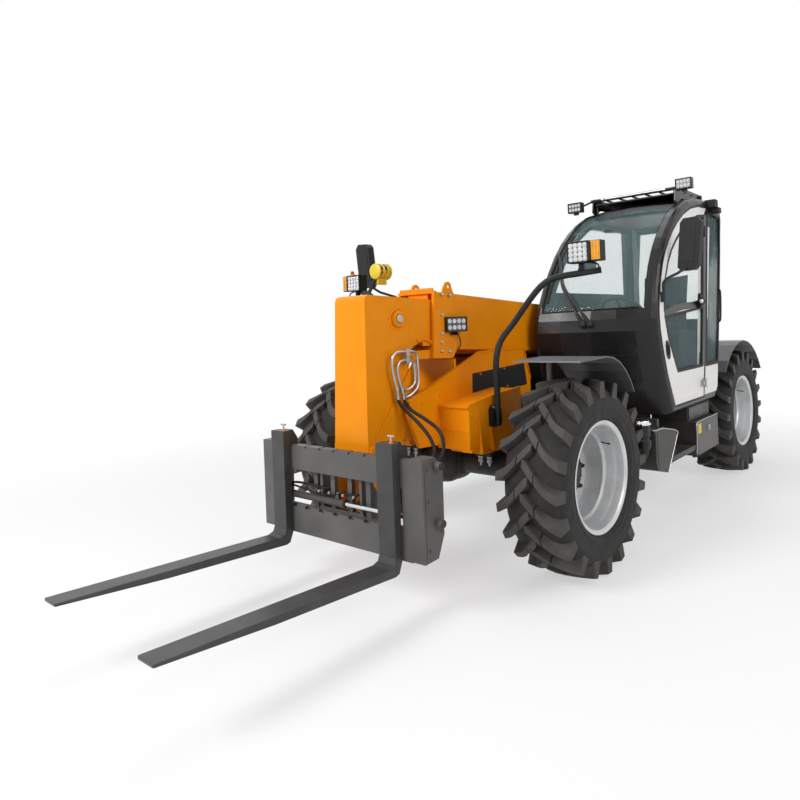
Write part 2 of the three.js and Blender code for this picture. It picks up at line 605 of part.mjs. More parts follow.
cylinder('lift', LIFT_BASE, LIFT_EYE, {
  barrelR: LIFT_BARREL_R, barrelLength: LIFT_BARREL_LENGTH, rodR: LIFT_ROD_R, rodLength: LIFT_ROD_LENGTH,
  eyeHalf: 48, basePinR: EYE_PIN_R, boreStart: 110, lugGap: 55,
});
cylinder('tilt', TILT_TOP, TILT_EYE, {
  barrelR: TILT_BARREL_R, barrelLength: TILT_BARREL_LENGTH, rodR: TILT_ROD_R, rodLength: TILT_ROD_LENGTH,
  eyeHalf: 40, basePinR: EYE_PIN_R, boreStart: 370, lugGap: 60,
});

// ---- fork carriage and forks -------------------------------------------------------------------------
const BAR_BACK_Y = BAR_FRONT_Y + BAR_DEPTH;

function hitch() {
  const parts = [];
  for (const [, side] of SIDES) {
    const inX = headHalf(CARRIAGE_Z) + 6;
    parts.push(sidePlate([
      [BAR_BACK_Y - 5, 360], [BAR_BACK_Y - 5, 830], [-1000, 830], [-985, 700], [-880, 500],
      [-850, 440], [-880, 385], [-960, 350],
    ], side * inX, side * (inX + 22)));
    parts.push(sidePlate([
      [-1020, 330], [-700, 345], [-690, 383], [-715, 420], [-1020, 350],
    ], side * 60, side * 82));
  }
  parts.push(box(-190, 190, BAR_BACK_Y - 5, -1015, 320, 500));
  const eye = pin(-300, 300, { y: CARRIAGE_Y, z: CARRIAGE_Z }, CARRIAGE_PIN_R + PIN_PLAY, 20);
  return cut(join(...parts), eye);
}

function carriage() {
  const parts = [
    box(-TOP_BAR.half, TOP_BAR.half, BAR_FRONT_Y, BAR_BACK_Y, TOP_BAR.low, TOP_BAR.high),
    box(-LOW_BAR.half, LOW_BAR.half, BAR_FRONT_Y, BAR_BACK_Y, LOW_BAR.low, LOW_BAR.high),
  ];
  for (const x of [-230, -75, 75, 230]) {
    parts.push(box(x - 18, x + 18, BAR_BACK_Y - 1, BAR_BACK_Y + 25, LOW_BAR.high - 60, TOP_BAR.low + 60));
  }
  const notches = [];
  for (let x = -390; x <= 390; x += 130) {
    notches.push(box(x - 8, x + 8, BAR_FRONT_Y - 5, BAR_BACK_Y + 5, TOP_BAR.high - 12, TOP_BAR.high + 5));
    notches.push(box(x - 24, x + 24, BAR_FRONT_Y - 5, BAR_FRONT_Y + 22, LOW_BAR.high - 14, LOW_BAR.high + 5));
  }
  for (const [, side] of SIDES) {
    parts.push(box(side * 540, side * 600, BAR_FRONT_Y, BAR_BACK_Y, LOW_BAR.low, TOP_BAR.high));
    parts.push(sidePlate([
      [BAR_FRONT_Y, 330], [BAR_FRONT_Y, 860], [-990, 860], [-930, 800], [-935, 450], [-985, 335],
    ], side * 600, side * COLUMN_X));
    for (const z of [815, 520]) {
      parts.push(bar(at(side * (COLUMN_X - 5), -990, z), at(side * (COLUMN_X + 45), -990, z), 22, 16));
    }
  }
  return cut(join(...parts), ...notches);
}

function fork(label, side) {
  const front = BAR_FRONT_Y - SEAM - FORK_THICK;
  const heelLow = FORK_HEEL_Z - FORK_THICK;
  const alongTip = (distance, up) => [
    front - distance * Math.cos(FORK_TILT) - up * Math.sin(FORK_TILT),
    FORK_HEEL_Z + distance * Math.sin(FORK_TILT) + up * Math.cos(FORK_TILT),
  ];
  const blade = sidePlate([
    [BAR_FRONT_Y - SEAM, FORK_TOP_Z], [front, FORK_TOP_Z], [front, FORK_HEEL_Z + 45],
    [front - 12, FORK_HEEL_Z + 15], alongTip(45, 0), alongTip(FORK_LENGTH, -20), alongTip(FORK_LENGTH, -34),
    alongTip(700, -FORK_THICK), [front, heelLow], [front + 25, heelLow + 8],
    [BAR_FRONT_Y - SEAM, FORK_HEEL_Z + 20],
  ], side * (FORK_X - FORK_WIDTH / 2), side * (FORK_X + FORK_WIDTH / 2));
  const hook = sidePlate([
    [BAR_FRONT_Y - 6, FORK_TOP_Z - 1], [BAR_FRONT_Y - 6, TOP_BAR.high + SEAM],
    [BAR_BACK_Y + SEAM, TOP_BAR.high + SEAM], [BAR_BACK_Y + SEAM, TOP_BAR.high - 40],
    [BAR_BACK_Y + 20, TOP_BAR.high - 40], [BAR_BACK_Y + 20, TOP_BAR.high + 35],
  ], side * (FORK_X - 45), side * (FORK_X + 45));
  node(`${label}_fork`, join(blade, hook), DARK);
}

node('carriage', join(carriage(), hitch()), DARK);
for (const [label, side] of SIDES) fork(label, side);

// ---- cab ------------------------------------------------------------------------------------------
// Side outlines (y, z) at the inner wall beside the boom and at the outer wall, point for point.
const CAB_INNER_OUTLINE = [
  [850, CAB_LOW_Z], [745, 1080], [690, 1300], [668, 1440], [682, 1530], [725, 1640], [800, 1780], [900, 1930],
  [1010, 2070], [1120, 2180], [1240, 2275], [1370, 2355], [1510, 2420], [1680, 2470], [1900, 2500], [2200, 2505],
  [2510, 2490], [2530, 2380], [2440, 1900], [2330, 1250], [2250, 900], [2170, CAB_LOW_Z],
];
const CAB_OUTER_OUTLINE = [
  [1160, CAB_LOW_Z], [1035, 1080], [968, 1300], [930, 1440], [922, 1530], [938, 1640], [972, 1780], [1030, 1930],
  [1095, 2040], [1165, 2130], [1250, 2215], [1355, 2305], [1500, 2400], [1680, 2478], [1880, 2522], [2150, 2540],
  [2520, 2505], [2545, 2400], [2450, 1900], [2330, 1250], [2250, 900], [2160, CAB_LOW_Z],
];
const CAB_STATIONS = [0, 0.014, 0.05, 0.25, 0.5, 0.7, 0.84, 0.93, 0.96, 0.98, 0.993, 1];
const CAB_EDGE_R = 45;            // rounding where the cab's front and roof meet its side walls

// outline moved inwards by a distance, whichever way round it runs
function insetOutline(outline, inward) {
  const area = THREE.ShapeUtils.area(outline.map(([a, b]) => new THREE.Vector2(a, b)));
  const distance = area > 0 ? -inward : inward;
  return outline.map(([y, z], i) => {
    const [py, pz] = outline[(i + outline.length - 1) % outline.length];
    const [ny, nz] = outline[(i + 1) % outline.length];
    const before = new THREE.Vector2(y - py, z - pz).normalize();
    const after = new THREE.Vector2(ny - y, nz - z).normalize();
    const normal = new THREE.Vector2(before.y + after.y, -before.x - after.x).normalize();
    const stretch = 1 / Math.max(0.5, new THREE.Vector2(before.y, -before.x).dot(normal));
    return [y + normal.x * distance * stretch, z + normal.y * distance * stretch];
  });
}

function cabSolid(inset) {
  const rings = CAB_STATIONS.map((t) => {
    const blend = t ** 1.6;
    const crown = 25 * Math.sin(Math.PI * t);
    const outline = CAB_INNER_OUTLINE.map(([y, z], i) => {
      const [oy, oz] = CAB_OUTER_OUTLINE[i];
      const lift = z > 2300 ? crown : 0;
      return [y + (oy - y) * blend, z + (oz - z) * blend + lift];
    });
    const x = THREE.MathUtils.lerp(CAB_INNER_X + inset, CAB_OUTER_X - inset, t);
    const toSide = Math.max(0, Math.min(x - CAB_INNER_X, CAB_OUTER_X - x) - inset);
    const short = Math.max(0, CAB_EDGE_R - toSide);
    const rounding = CAB_EDGE_R - Math.sqrt(Math.max(0, CAB_EDGE_R ** 2 - short ** 2));
    return insetOutline(outline, inset + rounding).map(([y, z]) => at(x, y, z));
  });
  return loft(rings);
}
const cabSkin = (outside, inside) => cabSolid(outside).subtract(cabSolid(inside));
const shrink = (outline, gap) => insetOutline(outline, gap);

const DOOR_OUTLINE = [
  [1215, 855], [1090, 1110], [1022, 1310], [988, 1450], [978, 1560], [990, 1660], [1022, 1780], [1078, 1920],
  [1145, 2025], [1215, 2108], [1300, 2185], [1405, 2262], [1545, 2345], [1720, 2415], [1900, 2452], [2098, 2462],
  [2040, 2100], [1971, 1600], [1900, 1150], [1850, 855],
];
const DOOR_GLASS_TOP = [
  [1068, 1580], [1072, 1680], [1115, 1830], [1175, 1940], [1260, 2045], [1370, 2135], [1500, 2220], [1700, 2318],
  [1880, 2370], [2030, 2388], [1990, 2100], [1932, 1650],
];
const DOOR_GLASS_LOW = [[1075, 1535], [1130, 1370], [1290, 1110], [1848, 1110], [1920, 1600]];
const SIDE_GLASS = [[1940, 1110], [2255, 1110], [2370, 1700], [2440, 2120], [2470, 2420], [2135, 2440], [2080, 2100],
  [2010, 1600]];
const REAR_GLASS = [[330, 1500], [1030, 1500], [1030, 2350], [330, 2350]];
const RIGHT_GLASS = [[960, 1760], [1120, 1980], [1330, 2180], [1600, 2330], [2300, 2360], [2300, 1760]];
const SCREEN = [[285, 1590], [1050, 1605], [1050, 2650], [285, 2650]];
const SCREEN_REAR_Y = 1580;       // the windscreen curves back over the roof's front
const CAB_OUT = CAB_OUTER_X + 60;
const RACK_Z = 2572;              // tubes of the roof rack
const RACK_FRONT_Y = 1590;
const RACK_R = 15;

function cab() {
  const skin = cabSkin(0, CAB_WALL);
  const rack = [[330, 1620, 2420], [1040, 1620, 2420], [330, 2150, 2490], [1040, 2150, 2500]].map(
    ([x, y, z]) => bar(at(x, y, z), at(x, y, RACK_Z), 12, 10));
  for (const y of [RACK_FRONT_Y, 2150]) rack.push(bar(at(290, y, RACK_Z), at(1080, y, RACK_Z), RACK_R, 12));
  for (const x of [330, 1040]) rack.push(bar(at(x, RACK_FRONT_Y - 10, RACK_Z), at(x, 2200, RACK_Z), RACK_R, 12));
  for (const [x, y, z, near] of [[244, 1395, 2498, 300], [1155, 1530, 2582, 1070]]) {
    rack.push(box(x - 65, x + 65, y - 22, y + 22, z - 42, z + 42));
    rack.push(bar(at(x, y, z - 10), at(near, RACK_FRONT_Y, RACK_Z), 9, 8));
  }
  const open = [
    sidePlate(DOOR_OUTLINE, CAB_OUTER_X - 90, CAB_OUT),
    sidePlate(SIDE_GLASS, CAB_OUTER_X - 90, CAB_OUT),
    sidePlate(RIGHT_GLASS, CAB_INNER_X - 60, CAB_INNER_X + 90),
    frontPlate(REAR_GLASS, 2200, 2700),
    frontPlate(SCREEN, 400, SCREEN_REAR_Y),
  ];
  return join(cut(skin, ...open), ...rack);
}

function pane(name, prism) {
  node(name, cabSkin(12, 12 + GLASS).intersect(prism), TINT);
}

node('cab_shell', cab(), BLACK);
pane('windscreen', frontPlate(shrink(SCREEN, PANE_FIT), 400, SCREEN_REAR_Y - PANE_FIT));
pane('cab_rear_window', frontPlate(shrink(REAR_GLASS, PANE_FIT), 2200, 2700));
pane('cab_left_rear_window', sidePlate(shrink(SIDE_GLASS, PANE_FIT), CAB_OUTER_X - 90, CAB_OUT));
pane('cab_right_window', sidePlate(shrink(RIGHT_GLASS, PANE_FIT), CAB_INNER_X - 60, CAB_INNER_X + 90));

const doorHole = (outline) => sidePlate(outline, CAB_OUTER_X - 90, CAB_OUT);
node('cab_door', cut(
  cabSkin(0, CAB_WALL).intersect(doorHole(shrink(DOOR_OUTLINE, RUN))),
  doorHole(DOOR_GLASS_TOP), doorHole(DOOR_GLASS_LOW),
), WHITE);
pane('door_upper_glass', doorHole(shrink(DOOR_GLASS_TOP, PANE_FIT)));
pane('door_lower_glass', doorHole(shrink(DOOR_GLASS_LOW, PANE_FIT)));

// ---- cab interior -----------------------------------------------------------------------------------
const CAB_FLOOR_Z = CAB_LOW_Z + CAB_WALL + SEAM;
const SEAT_X = 690;
const SEAT_TOP_Z = 1290;
const COLUMN_FOOT = at(SEAT_X, 1075, 1330);
const COLUMN_TOP = at(SEAT_X, 1290, 1560);
const columnDir = new THREE.Vector3().subVectors(COLUMN_TOP, COLUMN_FOOT).normalize();

const console = sidePlate([
  [700, CAB_FLOOR_Z], [700, 1400], [985, 1475], [1110, 1440], [1130, 1300], [1100, 1150], [1100, CAB_FLOOR_Z],
], 420, 900).intersect(cabSolid(CAB_WALL + SEAM));
node('dash', join(
  console, bar(COLUMN_FOOT, COLUMN_TOP.clone().addScaledVector(columnDir, -SEAM), 30, 20)), BLACK);
node('seat_base', join(
  box(SEAT_X - 190, SEAT_X + 190, 1720, 2080, CAB_FLOOR_Z, 1160),
  box(SEAT_X + 245, SEAT_X + 295, 1720, 2140, 1100, 1400),
  box(SEAT_X + 180, SEAT_X + 260, 1850, 1950, 1100, 1155),
), BLACK);
node('seat_cushion', box(SEAT_X - 230, SEAT_X + 230, 1700, 2170, 1160 + SEAM, SEAT_TOP_Z), BLACK);
node('seat_back', sidePlate([
  [2080, SEAT_TOP_Z + SEAM], [2190, SEAT_TOP_Z + SEAM], [2290, 1880], [2280, 1930], [2210, 1930], [2180, 1870],
], SEAT_X - 220, SEAT_X + 220), BLACK);

// Steering wheel square to its column: a rim of round section, a hub and three spokes.
function steeringWheel() {
  const section = 14;
  const ring = [];
  for (let i = 0; i <= 8; i += 1) {
    const angle = (2 * Math.PI * i) / 8;
    ring.push(new THREE.Vector2(STEER_WHEEL_R - section + section * Math.cos(angle), section * Math.sin(angle)));
  }
  const turn = new THREE.Quaternion().setFromUnitVectors(Y_AXIS, columnDir);
  const centre = COLUMN_TOP.clone().addScaledVector(columnDir, 20);
  const rim = new THREE.LatheGeometry(ring, 28);
  rim.applyQuaternion(turn);
  rim.translate(centre.x, centre.y, centre.z);
  const hub = bar(COLUMN_TOP.clone(), COLUMN_TOP.clone().addScaledVector(columnDir, 45), 38, 20);
  const spokes = [90, 210, 330].map((degrees) => {
    const angle = THREE.MathUtils.degToRad(degrees);
    const reach = STEER_WHEEL_R - section;
    const tip = at(reach * Math.cos(angle), 0, reach * Math.sin(angle)).applyQuaternion(turn);
    return bar(centre, tip.add(centre), 9, 8);
  });
  return join(hub, solid(rim), ...spokes);
}
node('steering_wheel', steeringWheel(), BLACK);

// ---- engine pod ---------------------------------------------------------------------------------------
const podIn = -POD_INNER_X;
const podOut = -POD_OUTER_X;
const podEnds = [POD_FRONT_Y, POD_REAR_Y - POD_WALL];

function engineBay() {
  const parts = [
    box(podOut, podIn, POD_FRONT_Y, POD_REAR_Y, POD_FLOOR_Z, POD_FLOOR_Z + POD_WALL),
    box(podIn - POD_WALL, podIn, POD_FRONT_Y, POD_REAR_Y, POD_FLOOR_Z, POD_TOP_Z - POD_WALL - SEAM),
    box(podOut, podOut + POD_WALL, POD_FRONT_Y, POD_REAR_Y, POD_FLOOR_Z, POD_SPLIT_Z - RUN),
  ];
  for (const y of podEnds) {
    parts.push(box(podOut, podIn, y, y + POD_WALL, POD_FLOOR_Z, POD_SPLIT_Z - RUN));
  }
  return join(...parts);
}

function engineHood() {
  const slope = 110;
  const shell = frontPlate([
    [podOut, POD_SPLIT_Z], [podOut, POD_TOP_Z - slope], [podOut + slope, POD_TOP_Z], [podIn, POD_TOP_Z],
    [podIn, POD_TOP_Z - POD_WALL], [podIn - POD_WALL - RUN, POD_TOP_Z - POD_WALL],
    [podIn - POD_WALL - RUN, POD_SPLIT_Z],
  ], POD_FRONT_Y, POD_REAR_Y);
  const hollow = frontPlate([
    [podOut + POD_WALL, POD_SPLIT_Z - 50], [podOut + POD_WALL, POD_TOP_Z - slope - 10],
    [podOut + slope + 10, POD_TOP_Z - POD_WALL], [podIn + 50, POD_TOP_Z - POD_WALL],
    [podIn + 50, POD_SPLIT_Z - 50],
  ], POD_FRONT_Y + POD_WALL, POD_REAR_Y - POD_WALL);
  return cut(shell, hollow);
}

node('engine_bay', engineBay(), BLACK);
node('engine_hood', engineHood(), ORANGE);
node('engine_block', box(
  podIn - 60 - ENGINE.width, podIn - 60, 1040, 1040 + ENGINE.length,
  POD_FLOOR_Z + POD_WALL + SEAM, POD_FLOOR_Z + POD_WALL + ENGINE.height), GREY);

// ---- step, tool box and filler under the cab -------------------------------------------------------------
const STEP_OUT = 1105;
const railFace = RAIL_X + RAIL_WALL + SEAM;

node('cab_step', join(
  box(700, STEP_OUT, 870, 895, 500, 720),
  box(700, STEP_OUT, 895, 1040, 500, 520),
  box(STEP_OUT - 20, STEP_OUT, 870, 1040, 500, 725),
  box(700, 725, 870, 1680, 440, 780),
  box(700, STEP_OUT, 1030, 1680, 440, 470),
  box(700, STEP_OUT, 1030, 1045, 440, 720),
  box(railFace, 710, 900, 950, 640, 700),
  box(railFace, 710, 1600, 1650, 640, 700),
), DARK);
node('tool_box', join(
  box(720, STEP_OUT + 5, 1685, 2225, 380, 655),
  box(720, 1040, 1700, 2215, 650, 775),
  box(railFace, 730, 2060, 2120, 640, 700),
), DARK);
// ---- headlamps on their arms, mirrors -------------------------------------------------------------------
const LAMP_Y = 66;                // the lamps' middle

function lampArm(side) {
  const faceX = FRONT_BOX.outer + SEAM;
  const route = [
    at(side * 485, -165, 880), at(side * 485, -160, 1100), at(side * 485, -155, 1310), at(side * 500, -120, 1420),
    at(side * 560, -70, 1520), at(side * 780, -35, 1765), at(side * 860, -10, 1805), at(side * 1000, 60, 1825),
    at(side * 1120, 115, 1840),
  ];
  const foot = box(side * faceX, side * (faceX + 30), -215, -115, 880, 990);
  return join(pipe(route, ARM_R, 10, 28), foot);
}

function headlamp(side, x, z) {
  const y = LAMP_Y;
  const low = z - LAMP.height / 2;
  const edge = x + LAMP.width / 2;
  return join(
    box(side * (x - LAMP.width / 2), side * edge, y - LAMP.depth / 2, y + LAMP.depth / 2, low, low + LAMP.height),
    box(side * (edge - 5), side * (edge + 75), y - 25, y + 35, low + 5, low + LAMP.height),
    box(side * (x - 15), side * (x + 15), y - 12, y + 12, low - 60, low + 5),
  );
}

node('left_headlamp', join(lampArm(1), headlamp(1, 1010, 1953)), BLACK);
node('right_headlamp', join(
  lampArm(-1), headlamp(-1, 1075, 1905),
  bar(at(-880, 5, 1806), at(-845, 70, 1950), 14, 12),
  bar(at(-840, 45, 1985), at(-840, 165, 1990), 58, 20),
), BLACK);

function mirror(side, y, z, foot, route) {
  const x0 = MIRROR_OUT_X - MIRROR.width;
  const half = MIRROR.height / 2;
  const housing = frontPlate([
    [side * (x0 - MIRROR.lean), z - half + 30], [side * (x0 - MIRROR.lean + 25), z - half],
    [side * (MIRROR_OUT_X - MIRROR.lean - 30), z - half + 5], [side * (MIRROR_OUT_X - MIRROR.lean), z - half + 40],
    [side * MIRROR_OUT_X, z + half - 40], [side * (MIRROR_OUT_X - 30), z + half], [side * (x0 + 25), z + half - 5],
    [side * x0, z + half - 35],
  ], y - MIRROR.depth / 2, y + MIRROR.depth / 2);
  return join(housing, pipe(route, 11, 8, 20), foot);
}

node('left_mirror', mirror(1, 1180, 2060,
  box(CAB_OUTER_X + SEAM, CAB_OUTER_X + 24, 1004, 1034, 1640, 1715),
  [at(1150, 1018, 1650), at(1152, 1014, 1720), at(1156, 1012, 1780), at(1180, 1020, 1808), at(1240, 1090, 1850),
    at(1290, 1160, 1900)],
), BLACK);
node('right_mirror', mirror(-1, 376, 2080,
  box(-1095, -1035, POD_FRONT_Y - 30, POD_FRONT_Y - SEAM, 800, 890),
  [at(-1065, 760, 845), at(-1066, 735, 900), at(-1070, 735, 1200), at(-1080, 720, 1550), at(-1150, 640, 1770),
    at(-1270, 450, 1865), at(-1285, 385, 1930)],
), BLACK);

// ---- origin: bottom centre of the whole machine's box ---------------------------------------------------------
const bounds = new THREE.Box3().setFromObject(machine);
machine.position.set(0, -(bounds.min.y + bounds.max.y) / 2, -bounds.min.z);

export default machine;
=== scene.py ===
import math

import bmesh
import bpy
from mathutils import Matrix, Vector
from mathutils.bvhtree import BVHTree


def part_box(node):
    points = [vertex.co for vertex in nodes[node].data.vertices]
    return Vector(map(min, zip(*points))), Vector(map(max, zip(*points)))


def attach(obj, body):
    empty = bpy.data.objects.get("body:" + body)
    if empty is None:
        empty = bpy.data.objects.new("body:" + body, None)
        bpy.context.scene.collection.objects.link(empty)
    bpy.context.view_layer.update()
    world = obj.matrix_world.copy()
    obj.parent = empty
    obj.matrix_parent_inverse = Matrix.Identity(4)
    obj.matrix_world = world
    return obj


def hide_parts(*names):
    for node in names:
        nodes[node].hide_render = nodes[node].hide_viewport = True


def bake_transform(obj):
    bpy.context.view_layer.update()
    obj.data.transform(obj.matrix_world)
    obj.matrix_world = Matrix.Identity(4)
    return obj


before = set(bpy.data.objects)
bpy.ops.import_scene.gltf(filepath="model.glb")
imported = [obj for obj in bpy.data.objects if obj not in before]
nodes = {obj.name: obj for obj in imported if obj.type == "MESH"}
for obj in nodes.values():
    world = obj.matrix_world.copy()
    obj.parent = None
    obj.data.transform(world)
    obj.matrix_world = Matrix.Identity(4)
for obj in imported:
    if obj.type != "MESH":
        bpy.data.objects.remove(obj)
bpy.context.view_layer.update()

AXLE_Y = sum(corner[1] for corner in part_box("front_left_tyre")) / 2   # row y of the front axle


# ---- camera --------------------------------------------------------------------------------
CAMERA_TURN = (36.595, -0.277, -2.309)     # yaw, pitch and roll in degrees
CAMERA_PLACE = (2.918, -3.375, 1.540)      # metres from the front axle's middle, on the floor
CAMERA_LENS = 28.26
CAMERA_SHIFT = (-0.125, -0.1008)


def make_camera():
    yaw, pitch, roll = (math.radians(a) for a in CAMERA_TURN)
    forward = Vector((-math.sin(yaw) * math.cos(pitch), math.cos(yaw) * math.cos(pitch), -math.sin(pitch)))
    right = Vector((math.cos(yaw), math.sin(yaw), 0))
    up = right.cross(forward)
    right, up = (math.cos(roll) * right + math.sin(roll) * up, math.cos(roll) * up - math.sin(roll) * right)
    data = bpy.data.cameras.new("camera")
    data.sensor_width = 36
    data.lens = CAMERA_LENS
    data.shift_x, data.shift_y = CAMERA_SHIFT
    camera = bpy.data.objects.new("camera", data)
    bpy.context.collection.objects.link(camera)
    turn = Matrix((right, up, -forward)).transposed().to_4x4()
    place = (CAMERA_PLACE[0], AXLE_Y + CAMERA_PLACE[1], CAMERA_PLACE[2])
    camera.matrix_world = Matrix.Translation(place) @ turn
    bpy.context.scene.camera = camera


make_camera()


# ---- light and floor -------------------------------------------------------------------------
def area_light(name, place, target, size, power):
    data = bpy.data.lights.new(name, "AREA")
    data.shape = "DISK"
    data.size = size
    data.energy = power
    lamp = bpy.data.objects.new(name, data)
    bpy.context.collection.objects.link(lamp)
    aim = (Vector(target) - Vector(place)).to_track_quat("-Z", "Y")
    lamp.matrix_world = Matrix.Translation(place) @ aim.to_matrix().to_4x4()


def add_node(tree, kind, **settings):
    node = tree.nodes.new("ShaderNode" + kind)
    for key, value in settings.items():
        setattr(node, key, value)
    return node


def white_when_seen(tree, lit, output, everywhere, near=None, far=None):
    """Mixes plain white over lit for camera, glossy and transmission rays, and fully so beyond far."""
    link = tree.links.new
    white = add_node(tree, "Emission")
    path = add_node(tree, "LightPath")
    seen = add_node(tree, "Math", operation="MAXIMUM")
    through = add_node(tree, "Math", operation="MAXIMUM")
    amount = add_node(tree, "Math", operation="MULTIPLY")
    amount.inputs[1].default_value = everywhere
    mix = add_node(tree, "MixShader")
    link(path.outputs["Is Glossy Ray"], through.inputs[0])
    link(path.outputs["Is Transmission Ray"], through.inputs[1])
    link(path.outputs["Is Camera Ray"], seen.inputs[0])
    link(through.outputs[0], seen.inputs[1])
    link(seen.outputs[0], amount.inputs[0])
    if far:
        coordinates = add_node(tree, "TexCoord")
        length = add_node(tree, "VectorMath", operation="LENGTH")
        spread = add_node(tree, "MapRange", interpolation_type="SMOOTHSTEP")
        spread.inputs["From Min"].default_value = near
        spread.inputs["From Max"].default_value = far
        spread.inputs["To Min"].default_value = everywhere
        link(coordinates.outputs["Object"], length.inputs[0])
        link(length.outputs["Value"], spread.inputs["Value"])
        link(spread.outputs[0], amount.inputs[1])
    link(amount.outputs[0], mix.inputs["Fac"])
    link(lit, mix.inputs[1])
    link(white.outputs[0], mix.inputs[2])
    link(mix.outputs[0], output)


def make_stage():
    scene = bpy.context.scene
    scene.view_settings.view_transform = "Standard"
    world = bpy.data.worlds.new("world")
    scene.world = world
    world.use_nodes = True
    tree = world.node_tree
    background = tree.nodes["Background"]
    background.inputs["Color"].default_value = (0.88, 0.91, 0.96, 1)
    background.inputs["Strength"].default_value = 0.36
    white_when_seen(tree, background.outputs[0], tree.nodes["World Output"].inputs["Surface"], 1.0)

    bpy.ops.mesh.primitive_plane_add(size=120, location=(0, 0, 0))
    floor = bpy.context.object
    floor.name = "floor"
    material = bpy.data.materials.new("floor_white")
    material.use_nodes = True
    tree = material.node_tree
    shader = tree.nodes["Principled BSDF"]
    shader.inputs["Base Color"].default_value = (0.92, 0.92, 0.92, 1)
    shader.inputs["Roughness"].default_value = 1.0
    shader.inputs["Specular IOR Level"].default_value = 0.0
    white_when_seen(tree, shader.outputs[0], tree.nodes["Material Output"].inputs["Surface"], 0.55, 2.6,
                    6.5)
    floor.data.materials.append(material)
    area_light("key", (-2.2, -8.5, 6.5), (0, -0.8, 1), 4.0, 640)
    area_light("side", (8.5, -1.5, 5.0), (0, 0, 1.2), 5.0, 270)
    area_light("top", (-1.5, 3.0, 10.0), (0, 0, 1), 8.0, 260)


make_stage()


# ---- materials -------------------------------------------------------------------------------
class Finish:
    """A node material: two tones mixed by noise, finer noise in the roughness, a bump, and dust low down."""

    def __init__(self, name, tone, second=None, rough=0.4, metal=0.0, grain=8.0, bump=0.05,
                 bump_scale=180.0,
                 rough_spread=0.12, coat=0.0, dust=0.0, dust_tone=(0.30, 0.24, 0.17), specular=0.5):
        self.material = bpy.data.materials.new(name)
        self.material.use_nodes = True
        self.tree = self.material.node_tree
        self.shader = self.tree.nodes["Principled BSDF"]
        for socket, value in (("Metallic", metal), ("Specular IOR Level", specular), ("Coat Weight", coat),
                              ("Coat Roughness", 0.08)):
            self.shader.inputs[socket].default_value = value
        coordinates = add_node(self.tree, "TexCoord")
        self.place = coordinates.outputs["Object"]
        second = second or tuple(0.86 * c for c in tone)
        color = self.mix(self.ramp(self.noise(grain, 4), 0.35, 0.65), tone, second)
        if dust:
            split = add_node(self.tree, "SeparateXYZ")
            self.tree.links.new(coordinates.outputs["Object"], split.inputs[0])
            low = self.ramp(split.outputs["Z"], 1.1, 0.25)
            spots = self.ramp(self.noise(3.5, 6), 0.42, 0.72)
            amount = self.math("MULTIPLY", self.math("MULTIPLY", low, spots), dust)
            color = self.mix(amount, color, dust_tone)
        self.tree.links.new(color, self.shader.inputs["Base Color"])
        fine = self.noise(grain * 5, 3)
        spread = add_node(self.tree, "MapRange")
        spread.inputs["To Min"].default_value = max(0.02, rough - rough_spread / 2)
        spread.inputs["To Max"].default_value = min(1.0, rough + rough_spread / 2)
        self.tree.links.new(fine, spread.inputs["Value"])
        self.tree.links.new(spread.outputs[0], self.shader.inputs["Roughness"])
        if bump:
            self.bump(self.noise(bump_scale, 2), bump)

    def noise(self, scale, detail):
        node = add_node(self.tree, "TexNoise")
        node.inputs["Scale"].default_value = scale
        node.inputs["Detail"].default_value = detail
        self.tree.links.new(self.place, node.inputs["Vector"])
        return node.outputs["Fac"]

    def ramp(self, value, low, high):
        node = add_node(self.tree, "MapRange")
        node.inputs["From Min"].default_value = low
        node.inputs["From Max"].default_value = high
        self.tree.links.new(value, node.inputs["Value"])
        return node.outputs[0]

    def math(self, operation, a, b):
        node = add_node(self.tree, "Math", operation=operation)
        for socket, value in zip(node.inputs, (a, b)):
            if isinstance(value, (int, float)):
                socket.default_value = value
            else:
                self.tree.links.new(value, socket)
        return node.outputs[0]

    def mix(self, amount, first, second):
        node = add_node(self.tree, "Mix", data_type="RGBA")
        self.tree.links.new(amount, node.inputs["Factor"])
        for name, value in (("A", first), ("B", second)):
            socket = [s for s in node.inputs if s.name == name and s.type == "RGBA"][0]
            if isinstance(value, tuple):
                socket.default_value = (*value[:3], 1)
            else:
                self.tree.links.new(value, socket)
        return [s for s in node.outputs if s.type == "RGBA"][0]

    def bump(self, height, distance):
        node = add_node(self.tree, "Bump")
        node.inputs["Strength"].default_value = 0.6
        node.inputs["Distance"].default_value = distance * 0.001
        self.tree.links.new(height, node.inputs["Height"])
        self.tree.links.new(node.outputs[0], self.shader.inputs["Normal"])


def finish(name, tone, **settings):
    return Finish(name, tone, **settings).material


def glass(name, tone, alpha):
    made = Finish(name, tone, rough=0.03, rough_spread=0.02, bump=0, grain=2, specular=0.2)
    made.shader.inputs["Alpha"].default_value = alpha
    return made.material


